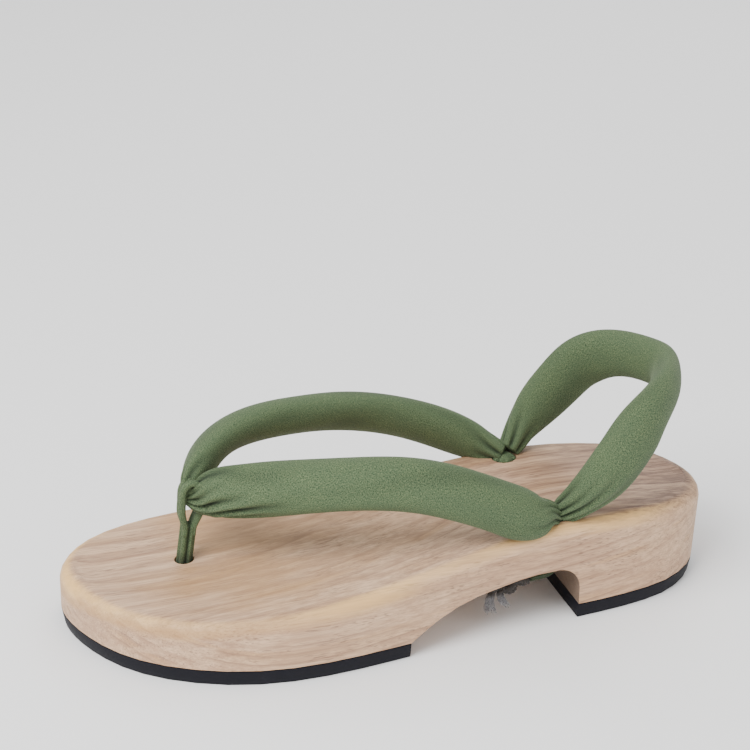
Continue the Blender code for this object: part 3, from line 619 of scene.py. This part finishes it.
def strand_curve(name, splines, radius, material, taper=False):
    """Round strands through given points, as one mesh."""
    data = bpy.data.curves.new(name, "CURVE")
    data.dimensions = "3D"
    data.bevel_depth = radius
    data.bevel_resolution = 2
    data.use_fill_caps = True
    for points in splines:
        line = data.splines.new("POLY")
        line.points.add(len(points) - 1)
        for i, (spot, place) in enumerate(zip(line.points, points)):
            spot.co = (*place, 1)
            spot.radius = 1 - FIBRE_TAPER * i / len(points) if taper else 1
    piece = bpy.data.objects.new(name, data)
    bpy.context.scene.collection.objects.link(piece)
    select_only(piece)
    bpy.ops.object.convert(target="MESH")
    piece = bpy.context.view_layer.objects.active
    piece.data.shade_smooth()
    dress(piece, material)
    return piece


def twisted(path, radius, pitch):
    """Centre lines of the strands laid round a path."""
    path = np.asarray(path, float)
    knots = lengths_along(path)
    at = np.linspace(0, knots[-1], max(12, int(knots[-1] / LAY_STEP)))
    smooth = spline(knots, path, at)
    tangents = np.gradient(smooth, axis=0)
    tangents /= np.linalg.norm(tangents, axis=1)[:, None]
    side = np.cross(tangents, np.tile(LAY_ACROSS, (len(at), 1)))
    side /= np.linalg.norm(side, axis=1)[:, None]
    other = np.cross(tangents, side)
    lines = []
    reach = radius * LAY_REACH
    for strand in range(TWINE_STRANDS):
        turn = 2 * math.pi * (at / pitch + strand / TWINE_STRANDS)
        line = smooth + side * (np.cos(turn) * reach)[:, None]
        lines.append(line + other * (np.sin(turn) * reach)[:, None])
    return lines


def knot_wraps(place, seed, grown):
    """Turns of twine round a place."""
    lines = []
    for wrap in KNOT_WRAPS:
        angles = np.linspace(0, 2 * math.pi * KNOT_TURNS, KNOT_POINTS)
        rows = [np.cos(angles), np.sin(angles), KNOT_WAVE * np.sin(angles * 2 + seed)]
        around = np.column_stack(rows) * (wrap["ring"] * grown)
        turned = Matrix.Rotation(wrap["tilt"] + seed, 3, "X") @ Matrix.Rotation(wrap["tilt"], 3, "Z")
        lines += twisted(around @ np.array(turned).T + place, WRAP_RADIUS, KNOT_PITCH)
    return lines


def frayed_fibres(path, knots, half, dice):
    """Loose fibres past the laid part of a twine end."""
    fibres = []
    for _ in range(FIBRES):
        side = dice.uniform(-half, half)
        depth = dice.normal(0, FIBRE_DEPTH)
        reach = knots[-1] - dice.uniform(0, SHORT_BY) + (LONG_BY if dice.random() < LONG_SHARE else 0)
        at = np.linspace(knots[2] - dice.uniform(*FIBRE_ROOT), reach, FIBRE_POINTS)
        share = (at - at[0]) / (at[-1] - at[0])
        fibre = spline(knots, path, at)
        shake = dice.normal(0, FIBRE_SHAKE, FIBRE_POINTS)
        fibre[:, 0] += side * (ROOT_BREADTH + FIBRE_SPREAD * share) + shake
        fibre[:, 1] += depth * (ROOT_DEPTH + share)
        fibres.append(list(fibre))
    return fibres


def tie_cord(material):
    """Twine knotted round both gathered ends under the arch, with two frayed ends hanging out."""
    outer = np.array([OUTER_HOLE[0] + KNOT_AHEAD, OUTER_HOLE[1] + KNOT_OUTWARD, TWINE_HEIGHT])
    inner = np.array([INNER_HOLE[0] + KNOT_AHEAD, INNER_HOLE[1] - KNOT_OUTWARD, TWINE_HEIGHT])
    run = [outer + (inner - outer) * share for share in KNOT_SHARES]
    lines = twisted(run, TWINE_RADIUS, TWINE_PITCH)
    lines += knot_wraps(outer, 3, 1.0)
    lines += knot_wraps(inner, 4, 1.0)
    for row in SIDE_KNOTS:
        lines += knot_wraps(outer + np.array(row["place"]), row["seed"], row["grown"])
    knot = strand_curve("tie_cord_lay", lines, STRAND_RADIUS, material)
    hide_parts("tie_cord")
    dice = np.random.default_rng(FRAY_SEED)
    fibres = []
    lines = []
    for row in TWINE_ENDS:
        forward = row["forward"]
        path = outer + np.array([
            (0.0012, 0.0006, -0.0004),
            (forward * 0.62, 0.0014, -0.0010),
            (forward, 0.0016, -0.0046),
            (forward + row["lean"], 0.0014, -row["drop"]),
        ])
        knots = lengths_along(path)
        laid = spline(knots, path, np.linspace(0, knots[2], 8))
        lines += twisted(laid, TWINE_RADIUS, TWINE_PITCH)
        fibres += frayed_fibres(path, knots, row["half"], dice)
    strand_curve("tie_cord_ends", lines, STRAND_RADIUS, material)
    strand_curve("tie_cord_fray", fibres, FIBRE_RADIUS, material, taper=True)


def add_node(tree, kind, **settings):
    made = tree.nodes.new(kind)
    for name, value in settings.items():
        setattr(made, name, value)
    return made


def link(tree, source, target):
    tree.links.new(source, target)


def settle(made, values):
    """Sets a node's own inputs by their labels."""
    for label, value in values.items():
        made.inputs[label].default_value = value


def number(tree, operation, first, second=None, third=None):
    """A Math node; inputs are sockets or numbers."""
    made = add_node(tree, "ShaderNodeMath", operation=operation)
    for socket, value in zip(made.inputs, (first, second, third)):
        if value is None:
            continue
        if isinstance(value, (int, float)):
            socket.default_value = value
        else:
            link(tree, value, socket)
    return made.outputs[0]


def split_axes(tree, vector):
    made = add_node(tree, "ShaderNodeSeparateXYZ")
    link(tree, vector, made.inputs[0])
    return made.outputs


def times(tree, first, second):
    return number(tree, "MULTIPLY", first, second)


def stretched(tree, vector, scale):
    made = add_node(tree, "ShaderNodeVectorMath", operation="MULTIPLY")
    link(tree, vector, made.inputs[0])
    made.inputs[1].default_value = scale
    return made.outputs[0]


def noise(tree, vector, scale, detail=3.0, rough=0.55):
    made = add_node(tree, "ShaderNodeTexNoise")
    link(tree, vector, made.inputs["Vector"])
    settle(made, {"Scale": scale, "Detail": detail, "Roughness": rough})
    return made.outputs["Fac"]


def rated_noise(tree, vector, rates, detail, rough=0.55):
    """Noise with its own number of changes a metre along each axis."""
    return noise(tree, stretched(tree, vector, rates), 1.0, detail, rough)


def mixed(tree, factor, first, second):
    """A colour mix; inputs are sockets, colours or numbers."""
    made = add_node(tree, "ShaderNodeMix", data_type="RGBA")
    for socket, value in ((made.inputs[0], factor), (made.inputs[6], first), (made.inputs[7], second)):
        if isinstance(value, (int, float)):
            socket.default_value = value
        elif isinstance(value, tuple):
            socket.default_value = (*value, 1)
        else:
            link(tree, value, socket)
    return made.outputs[2]


def tinted(tree, colour, mask, layer):
    """A layer's tone over a colour, where its mask is."""
    return mixed(tree, times(tree, mask, layer["cover"]), colour, layer["tone"])


def between(tree, value, start, end):
    """0 before the start, 1 past the end, and smooth between them."""
    made = add_node(tree, "ShaderNodeMapRange", interpolation_type="SMOOTHSTEP")
    link(tree, value, made.inputs["Value"])
    settle(made, {"From Min": start, "From Max": end})
    return made.outputs["Result"]


def group_with(name, value, masks):
    """A node group that takes a place and one value, and puts out masks."""
    tree = bpy.data.node_groups.new(name, "ShaderNodeTree")
    tree.interface.new_socket(name="Vector", in_out="INPUT", socket_type="NodeSocketVector")
    tree.interface.new_socket(name=value, in_out="INPUT", socket_type="NodeSocketFloat")
    for label in masks:
        tree.interface.new_socket(name=label, in_out="OUTPUT", socket_type="NodeSocketFloat")
    return tree, tree.nodes.new("NodeGroupInput"), tree.nodes.new("NodeGroupOutput")


# Growth layers of the plank, in metres, and its noises. rates: changes a metre along X, Y and Z
LAYER_TILT = 0.48
LAYER_CLIMB = 0.022
LAYER_SWAY = 0.016
LAYER_WANDER = 0.0030
LINE_SHARPNESS = 3.4
LINE_FALL = (1.0, 0.90)
LINE_GATE = (0.38, 0.64)
STREAK_RANGE = (0.36, 0.66)
PORE_RANGE = (0.57, 0.68)
PORE_GATE = (0.40, 0.58)
SWAY_NOISE = {"rates": (4, 13, 13), "detail": 1.0}
WANDER_NOISE = {"rates": (14, 60, 90), "detail": 2.0}
LINE_NOISE = {"rates": (7, 90, 230), "detail": 2.0}
STREAK_NOISE = {"rates": (11, 330, 430), "detail": 4.0, "rough": 0.62}
FIBRE_NOISE = {"rates": (60, 1700, 1700), "detail": 4.0, "rough": 0.65}
PORE_NOISE = {"rates": (150, 2300, 2300), "detail": 1.0, "rough": 0.5}
PORE_GATE_NOISE = {"rates": (24, 160, 420), "detail": 2.0}
PATCH_NOISE = {"rates": (12, 34, 60), "detail": 3.0}


def long_grain_group():
    """Growth layers, streaks, fibres and open pores of a plank that runs along X."""
    masks = ("Line", "Streak", "Fibre", "Pore", "Patch")
    tree, given, result = group_with("long_grain", "Layer", masks)
    place = given.outputs["Vector"]
    sway = rated_noise(tree, place, **SWAY_NOISE)
    wander = rated_noise(tree, place, **WANDER_NOISE)
    x, y, z = split_axes(tree, place)
    height = number(tree, "ADD", z, times(tree, y, LAYER_TILT))
    height = number(tree, "ADD", height, times(tree, x, LAYER_CLIMB))
    height = number(tree, "ADD", height, times(tree, sway, LAYER_SWAY))
    height = number(tree, "ADD", height, times(tree, wander, LAYER_WANDER))
    phase = number(tree, "FRACT", number(tree, "DIVIDE", height, given.outputs["Layer"]))
    rising = number(tree, "POWER", phase, LINE_SHARPNESS)
    line = times(tree, rising, between(tree, phase, *LINE_FALL))
    gate = between(tree, rated_noise(tree, place, **LINE_NOISE), *LINE_GATE)
    link(tree, times(tree, line, gate), result.inputs["Line"])
    streak = rated_noise(tree, place, **STREAK_NOISE)
    link(tree, between(tree, streak, *STREAK_RANGE), result.inputs["Streak"])
    link(tree, rated_noise(tree, place, **FIBRE_NOISE), result.inputs["Fibre"])
    pore = between(tree, rated_noise(tree, place, **PORE_NOISE), *PORE_RANGE)
    gate = between(tree, rated_noise(tree, place, **PORE_GATE_NOISE), *PORE_GATE)
    link(tree, times(tree, pore, gate), result.inputs["Pore"])
    link(tree, rated_noise(tree, place, **PATCH_NOISE), result.inputs["Patch"])
    return tree


# Noises of the cloth. rates: changes a metre along and across the strap
ALONG_NOISE = {"rates": (1700, 4200, 1), "detail": 2.0, "rough": 0.6}
ACROSS_NOISE = {"rates": (4200, 1700, 1), "detail": 2.0, "rough": 0.6}
FLECK_NOISE = {"rates": (2600, 2600, 1), "detail": 1.0, "rough": 0.5}
CLOUD_NOISE = {"rates": (90, 160, 1), "detail": 3.0}
FLECK_RANGE = (0.56, 0.70)


def woven_cloth_group():
    """Fine plain weave of mixed threads, read from a UV map in metres."""
    masks = ("Heather", "Fleck", "Weave", "Cloud")
    tree, given, result = group_with("woven_cloth", "Thread", masks)
    place = given.outputs["Vector"]
    lengthways, crossways, _ = split_axes(tree, place)
    rate = number(tree, "DIVIDE", 2 * math.pi, given.outputs["Thread"])
    weft = number(tree, "SINE", times(tree, lengthways, rate))
    warp = number(tree, "SINE", times(tree, crossways, rate))
    link(tree, times(tree, weft, warp), result.inputs["Weave"])
    along = rated_noise(tree, place, **ALONG_NOISE)
    across = rated_noise(tree, place, **ACROSS_NOISE)
    link(tree, times(tree, number(tree, "ADD", along, across), 0.5), result.inputs["Heather"])
    fleck = rated_noise(tree, place, **FLECK_NOISE)
    link(tree, between(tree, fleck, *FLECK_RANGE), result.inputs["Fleck"])
    link(tree, rated_noise(tree, place, **CLOUD_NOISE), result.inputs["Cloud"])
    return tree


def new_material(name, surface):
    made = bpy.data.materials.new(name)
    made.use_nodes = True
    shader = made.node_tree.nodes["Principled BSDF"]
    settle(shader, surface)
    return made, made.node_tree, shader


def bumped(tree, shader, height, relief):
    bump = add_node(tree, "ShaderNodeBump")
    settle(bump, relief)
    link(tree, height, bump.inputs["Height"])
    link(tree, bump.outputs["Normal"], shader.inputs["Normal"])


def placed_group(tree, group, vector, **values):
    made = add_node(tree, "ShaderNodeGroup", node_tree=group)
    link(tree, vector, made.inputs["Vector"])
    settle(made, values)
    return made


# Wood. tone: a layer's colour. cover: how far it hides what is under it. A range runs from where
# its mask is 0 to where it is 1, in metres where it is a place. BY: a mask's gain and what is added
WOOD_PALE = (0.73, 0.500, 0.320)
WOOD_WARM = (0.61, 0.390, 0.245)
WOOD_BAND = {"tone": (0.50, 0.275, 0.10), "cover": 0.75}
WOOD_STREAK = {"tone": (0.44, 0.260, 0.155), "cover": 0.60}
WOOD_LINE = {"tone": (0.27, 0.150, 0.090), "cover": 0.95}
WOOD_FIBRE = {"tone": (0.27, 0.150, 0.090), "cover": 0.42}
WOOD_PORE = {"tone": (0.13, 0.075, 0.05), "cover": 0.55}
# The rim's warm tone is partly the wood's own colour and partly a painted highlight on the rounded edge
WOOD_RIM_TONE_AND_HIGHLIGHT = {"tone": (0.88, 0.54, 0.20), "cover": 0.92}
# A painted shade stripe along the foot of the rim's rounding, towards the toe
WOOD_SHADE_STRIPE = {"tone": (0.50, 0.275, 0.10), "cover": 0.50}
# Wear of the footbed, made darker towards the heel with painted shadow of a foot
WOOD_WEAR_AND_SHADOW = {"tone": (0.15, 0.080, 0.050), "cover": 0.92}
# Painted shade on the heel's front face, under the arch
WOOD_CUT_SHADE = {"tone": (0.085, 0.072, 0.066), "cover": 0.72}
FINE_LAYER = 0.0036
BROAD_LAYER = 0.0130
PATCH_RANGE = (0.30, 0.72)
FIBRE_RANGE = (0.36, 0.68)
INSET_WANDER = 0.0024
TOP_INSET = (0.0032, 0.0066)
TOP_FACING = (0.4, 0.6)
RIM_WANDER = 0.016
RIM_DEPTH = (0.0145, 0.0050)
RIM_BY_PATCH = (-0.42, 1.0)
# Less of the rim's painted highlight at the back of the heel
RIM_BY_BACK = (-0.75, 1.0)
BACK_OF_HEEL = (0.0, -0.022)
STRIPE_TOP = (0.0085, 0.0120)
STRIPE_FOOT = (0.0165, 0.0130)
STRIPE_ALONG = (0.06, 0.17)
HEEL_ALONG = (0.075, -0.01)
TRODDEN_INSET = (0.0004, 0.0060)
TRODDEN_FACING = (0.2, 0.6)
WEAR_AND_SHADOW_BY_HEEL = (0.80, 0.20)
WORN_BY_STREAK = (0.55, 0.55)
WORN_BY_FIBRE = (0.55, 0.70)
CUT_FACING = (0.2, 0.9)
CUT_ALONG = (0.056, 0.044)
FIBRE_RELIEF = 0.4
FIBRE_ROUGH = 0.18
LEAST_ROUGH = 0.42
WOOD_RELIEF = {"Strength": 0.45, "Distance": 0.00014}
WOOD_SURFACE = {"Roughness": 0.5, "Specular IOR Level": 0.4}


def wood_material(group):
    """Oiled pale wood: grain, a warm rim partly painted as highlight, a painted shade stripe below it, a
    trodden footbed with painted shadow at the heel, and painted shade on the front cut of the heel.
    """
    material, tree, shader = new_material("pale_grained_wood", WOOD_SURFACE)
    place = add_node(tree, "ShaderNodeTexCoord").outputs["Object"]
    grain = placed_group(tree, group, place, Layer=FINE_LAYER)
    broad = placed_group(tree, group, place, Layer=BROAD_LAYER)
    ahead, _, upward = split_axes(tree, add_node(tree, "ShaderNodeNewGeometry").outputs["Normal"])
    x, _, z = split_axes(tree, place)
    patch = between(tree, grain.outputs["Patch"], *PATCH_RANGE)
    fibre = between(tree, grain.outputs["Fibre"], *FIBRE_RANGE)
    colour = mixed(tree, patch, WOOD_PALE, WOOD_WARM)
    colour = tinted(tree, colour, broad.outputs["Line"], WOOD_BAND)
    colour = tinted(tree, colour, grain.outputs["Streak"], WOOD_STREAK)
    colour = tinted(tree, colour, grain.outputs["Line"], WOOD_LINE)
    colour = tinted(tree, colour, fibre, WOOD_FIBRE)
    colour = tinted(tree, colour, grain.outputs["Pore"], WOOD_PORE)
    inset = add_node(tree, "ShaderNodeAttribute", attribute_name="inset").outputs["Fac"]
    inset = number(tree, "ADD", inset, times(tree, grain.outputs["Fibre"], INSET_WANDER))
    top = times(tree, between(tree, inset, *TOP_INSET), between(tree, upward, *TOP_FACING))
    from_heel = number(tree, "MULTIPLY_ADD", x, RIM_HEEL_SLOPE, RIM_FROM_HEEL)
    from_toe = number(tree, "MULTIPLY_ADD", x, RIM_TOE_SLOPE, RIM_FROM_TOE)
    below = number(tree, "SUBTRACT", number(tree, "MINIMUM", from_heel, from_toe), z)
    below = number(tree, "ADD", below, times(tree, grain.outputs["Patch"], RIM_WANDER))
    rim = times(tree, between(tree, below, *RIM_DEPTH), number(tree, "SUBTRACT", 1.0, top))
    rim = times(tree, rim, number(tree, "MULTIPLY_ADD", patch, *RIM_BY_PATCH))
    back = between(tree, x, *BACK_OF_HEEL)
    rim = times(tree, rim, number(tree, "MULTIPLY_ADD", back, *RIM_BY_BACK))
    colour = tinted(tree, colour, rim, WOOD_RIM_TONE_AND_HIGHLIGHT)
    # Painted shade below the rim's rounding
    shade_stripe = times(tree, between(tree, below, *STRIPE_TOP), between(tree, below, *STRIPE_FOOT))
    shade_stripe = times(tree, shade_stripe, between(tree, x, *STRIPE_ALONG))
    colour = tinted(tree, colour, shade_stripe, WOOD_SHADE_STRIPE)
    # Real wear of the footbed, with painted shadow at the heel
    wear_and_shadow = times(tree, between(tree, inset, *TRODDEN_INSET), between(tree, upward, *TRODDEN_FACING))
    heel = between(tree, x, *HEEL_ALONG)
    wear_and_shadow = times(tree, wear_and_shadow, number(tree, "MULTIPLY_ADD", heel, *WEAR_AND_SHADOW_BY_HEEL))
    wear_and_shadow = times(tree, wear_and_shadow, number(tree, "MULTIPLY_ADD", grain.outputs["Streak"], *WORN_BY_STREAK))
    wear_and_shadow = times(tree, wear_and_shadow, number(tree, "MULTIPLY_ADD", fibre, *WORN_BY_FIBRE))
    colour = tinted(tree, colour, wear_and_shadow, WOOD_WEAR_AND_SHADOW)
    # Painted shade on the heel's front face
    cut = times(tree, between(tree, ahead, *CUT_FACING), between(tree, x, *CUT_ALONG))
    colour = tinted(tree, colour, cut, WOOD_CUT_SHADE)
    link(tree, colour, shader.inputs["Base Color"])
    rough = number(tree, "ADD", times(tree, grain.outputs["Fibre"], FIBRE_ROUGH), LEAST_ROUGH)
    link(tree, rough, shader.inputs["Roughness"])
    fine = times(tree, grain.outputs["Fibre"], FIBRE_RELIEF)
    bumped(tree, shader, number(tree, "SUBTRACT", fine, grain.outputs["Pore"]), WOOD_RELIEF)
    return material


# Rubber
RUBBER_BLACK = (0.0040, 0.0040, 0.0080)
RUBBER_DUST = {"tone": (0.017, 0.017, 0.025), "cover": 0.5}
SPECK_NOISE = {"scale": 900.0, "rough": 0.6}
SCUFF_NOISE = {"scale": 45.0}
SPECK_RANGE = (0.45, 0.7)
SCUFF_RANGE = (0.45, 0.75)
SPECK_ROUGH = 0.2
SMOOTHEST = 0.50
RUBBER_RELIEF = {"Strength": 0.4, "Distance": 0.0001}
RUBBER_SURFACE = {"Roughness": 0.62, "Specular IOR Level": 0.2}


def rubber_material():
    material, tree, shader = new_material("black_sheet_rubber", RUBBER_SURFACE)
    place = add_node(tree, "ShaderNodeTexCoord").outputs["Object"]
    speck = noise(tree, place, **SPECK_NOISE)
    cloud = noise(tree, place, **SCUFF_NOISE)
    scuff = times(tree, between(tree, cloud, *SCUFF_RANGE), between(tree, speck, *SPECK_RANGE))
    link(tree, tinted(tree, RUBBER_BLACK, scuff, RUBBER_DUST), shader.inputs["Base Color"])
    rough = number(tree, "ADD", times(tree, speck, SPECK_ROUGH), SMOOTHEST)
    link(tree, rough, shader.inputs["Roughness"])
    bumped(tree, shader, number(tree, "ADD", speck, cloud), RUBBER_RELIEF)
    return material


# Cloth. The straps' ends are darkened below the footbed with painted shade under the arch
CLOTH_DEEP = (0.026, 0.050, 0.024)
CLOTH_LIGHT = (0.124, 0.174, 0.084)
CLOTH_FLECK = {"tone": (0.250, 0.270, 0.130), "cover": 0.45}
CLOTH_SHADE = {"tone": (0.045, 0.075, 0.045), "cover": 0.20}
CLOTH_FOLD_SHADE = {"tone": (0.006, 0.012, 0.007), "cover": 0.92}
CLOTH_UNDER_ARCH_SHADE = {"tone": (0.012, 0.014, 0.010), "cover": 0.62}
THREAD = 0.00050
HEATHER_RANGE = (0.40, 0.60)
CLOUD_RANGE = (0.3, 0.7)
UNDER_ARCH_SHADE_HEIGHT = (0.0280, 0.0230)
WEAVE_RELIEF = 0.35
CLOTH_RELIEF = {"Strength": 0.5, "Distance": 0.00012}
CLOTH_SURFACE = {
    "Roughness": 0.85,
    "Sheen Weight": 0.12,
    "Sheen Roughness": 0.45,
    "Sheen Tint": (0.70, 0.80, 0.60, 1),
    "Specular IOR Level": 0.25,
}


def cloth_material(group):
    material, tree, shader = new_material("heathered_green_cloth", CLOTH_SURFACE)
    place = add_node(tree, "ShaderNodeUVMap", uv_map="cloth").outputs[0]
    weave = placed_group(tree, group, place, Thread=THREAD)
    heather = between(tree, weave.outputs["Heather"], *HEATHER_RANGE)
    colour = mixed(tree, heather, CLOTH_DEEP, CLOTH_LIGHT)
    colour = tinted(tree, colour, weave.outputs["Fleck"], CLOTH_FLECK)
    colour = tinted(tree, colour, between(tree, weave.outputs["Cloud"], *CLOUD_RANGE), CLOTH_SHADE)
    # Painted shade in the creases, as deep as each fold
    fold = add_node(tree, "ShaderNodeAttribute", attribute_name="fold").outputs["Fac"]
    colour = tinted(tree, colour, fold, CLOTH_FOLD_SHADE)
    # Painted shade on the cloth below the footbed, under the arch
    _, _, z = split_axes(tree, add_node(tree, "ShaderNodeTexCoord").outputs["Object"])
    colour = tinted(tree, colour, between(tree, z, *UNDER_ARCH_SHADE_HEIGHT), CLOTH_UNDER_ARCH_SHADE)
    link(tree, colour, shader.inputs["Base Color"])
    crossing = times(tree, weave.outputs["Weave"], WEAVE_RELIEF)
    bumped(tree, shader, number(tree, "ADD", crossing, weave.outputs["Heather"]), CLOTH_RELIEF)
    return material


# Twine. It is darker near the roof of the arch, and its hanging ends are pale
TWINE_DARK = (0.13, 0.125, 0.13)
TWINE_PALE = (0.38, 0.37, 0.38)
TWINE_DARKER_HIGH = {"tone": (0.026, 0.020, 0.015), "cover": 0.92}
TWINE_DARKER_HEIGHT = (0.0112, 0.0136)
TWINE_NOISE = {"scale": 1400.0, "rough": 0.6}
TWINE_RANGE = (0.3, 0.7)
TWINE_RELIEF = {"Strength": 0.5, "Distance": 0.0001}
TWINE_SURFACE = {"Roughness": 0.92}


def twine_material():
    material, tree, shader = new_material("grey_twine", TWINE_SURFACE)
    place = add_node(tree, "ShaderNodeTexCoord").outputs["Object"]
    speck = noise(tree, place, **TWINE_NOISE)
    colour = mixed(tree, between(tree, speck, *TWINE_RANGE), TWINE_DARK, TWINE_PALE)
    _, _, z = split_axes(tree, place)
    colour = tinted(tree, colour, between(tree, z, *TWINE_DARKER_HEIGHT), TWINE_DARKER_HIGH)
    link(tree, colour, shader.inputs["Base Color"])
    bumped(tree, shader, speck, TWINE_RELIEF)
    return material


def build_sandal():
    wood = wood_material(long_grain_group())
    rubber = rubber_material()
    cloth = cloth_material(woven_cloth_group())
    twine = twine_material()
    mark_inset(finished_copy("base", "base_wood", wood, WOOD_EDGE, WOOD_SAME_POINT))
    finished_copy("heel_tread", "heel_rubber", rubber, RUBBER_EDGE)
    finished_copy("forefoot_tread", "forefoot_rubber", rubber, RUBBER_EDGE)
    outer = padded_strap(
        "outer_strap",
        branch_rows(OUTER_BRANCH, OUTER_HOLE, 1, OUTER_BULGE),
        BRANCH_STEPS,
        POINT_PLEATS,
        HOLE_PLEATS,
        seed=1,
        material=cloth,
    )
    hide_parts("straps")
    padded_strap(
        "inner_strap",
        branch_rows(INNER_BRANCH, INNER_HOLE, -1, INNER_BULGE),
        BRANCH_STEPS,
        INNER_PLEATS,
        HOLE_PLEATS,
        seed=2,
        material=cloth,
    )
    padded_strap("heel_strap", heel_rows(), LOOP_STEPS, HEEL_PLEATS, HEEL_PLEATS, seed=3, material=cloth)
    gathered_end("outer_strap_end", OUTER_HOLE, 1, seed=7, material=cloth)
    gathered_end("inner_strap_end", INNER_HOLE, -1, seed=8, material=cloth)
    toe_post(cloth)
    tie_cord(twine)


# Studio, in metres and watts
FLOOR_SIZE = 12
PAPER_SURFACE = {"Base Color": (0.95, 0.95, 0.95, 1), "Roughness": 0.9}
ROOM_LIGHT = {"Color": (1, 1, 1, 1), "Strength": 0.95}
LAMP_AIM = Vector((0.09, 0, 0.03))
LAMPS = (
    {"name": "key", "place": (0.85, 0.45, 1.15), "size": 0.8, "power": 24},
    {"name": "fill", "place": (-0.6, 1.1, 0.7), "size": 0.9, "power": 2.5},
    {"name": "back", "place": (-0.5, -0.9, 0.9), "size": 0.8, "power": 4},
)


def build_studio():
    bpy.ops.object.select_all(action="DESELECT")
    bpy.ops.mesh.primitive_plane_add(size=FLOOR_SIZE, location=(0, 0, 0))
    floor = bpy.context.object
    floor.name = "studio_floor"
    paper, _, _ = new_material("white_paper", PAPER_SURFACE)
    floor.data.materials.append(paper)
    world = bpy.data.worlds.new("studio")
    bpy.context.scene.world = world
    world.use_nodes = True
    settle(world.node_tree.nodes["Background"], ROOM_LIGHT)
    for row in LAMPS:
        lamp = bpy.data.lights.new(row["name"], "AREA")
        lamp.size = row["size"]
        lamp.energy = row["power"]
        lit = bpy.data.objects.new(row["name"], lamp)
        lit.location = row["place"]
        aim = LAMP_AIM - Vector(row["place"])
        lit.rotation_euler = aim.to_track_quat("-Z", "Y").to_euler()
        bpy.context.scene.collection.objects.link(lit)


def build_camera():
    azimuth = math.radians(CAMERA_AZIMUTH)
    elevation = math.radians(CAMERA_ELEVATION)
    roll = math.radians(CAMERA_ROLL)
    back = Vector((
        math.sin(azimuth) * math.cos(elevation),
        -math.cos(azimuth) * math.cos(elevation),
        math.sin(elevation),
    ))
    right = Vector((math.cos(azimuth), math.sin(azimuth), 0))
    up = back.cross(right)
    rolled_right = right * math.cos(roll) + up * math.sin(roll)
    rolled_up = up * math.cos(roll) - right * math.sin(roll)
    eye = CAMERA_AIM + back * CAMERA_DISTANCE
    eye += rolled_right * CAMERA_SLIDE[0] + rolled_up * CAMERA_SLIDE[1]
    lens = bpy.data.cameras.new("photo_view")
    lens.lens = CAMERA_LENS
    lens.sensor_width = CAMERA_SENSOR
    lens.sensor_fit = "HORIZONTAL"
    lens.clip_start = CAMERA_NEAREST
    camera = bpy.data.objects.new("photo_view", lens)
    turn = Matrix((rolled_right, rolled_up, back)).transposed().to_4x4()
    camera.matrix_world = Matrix.Translation(eye) @ turn
    bpy.context.scene.collection.objects.link(camera)
    bpy.context.scene.camera = camera


build_camera()
build_sandal()
build_studio()
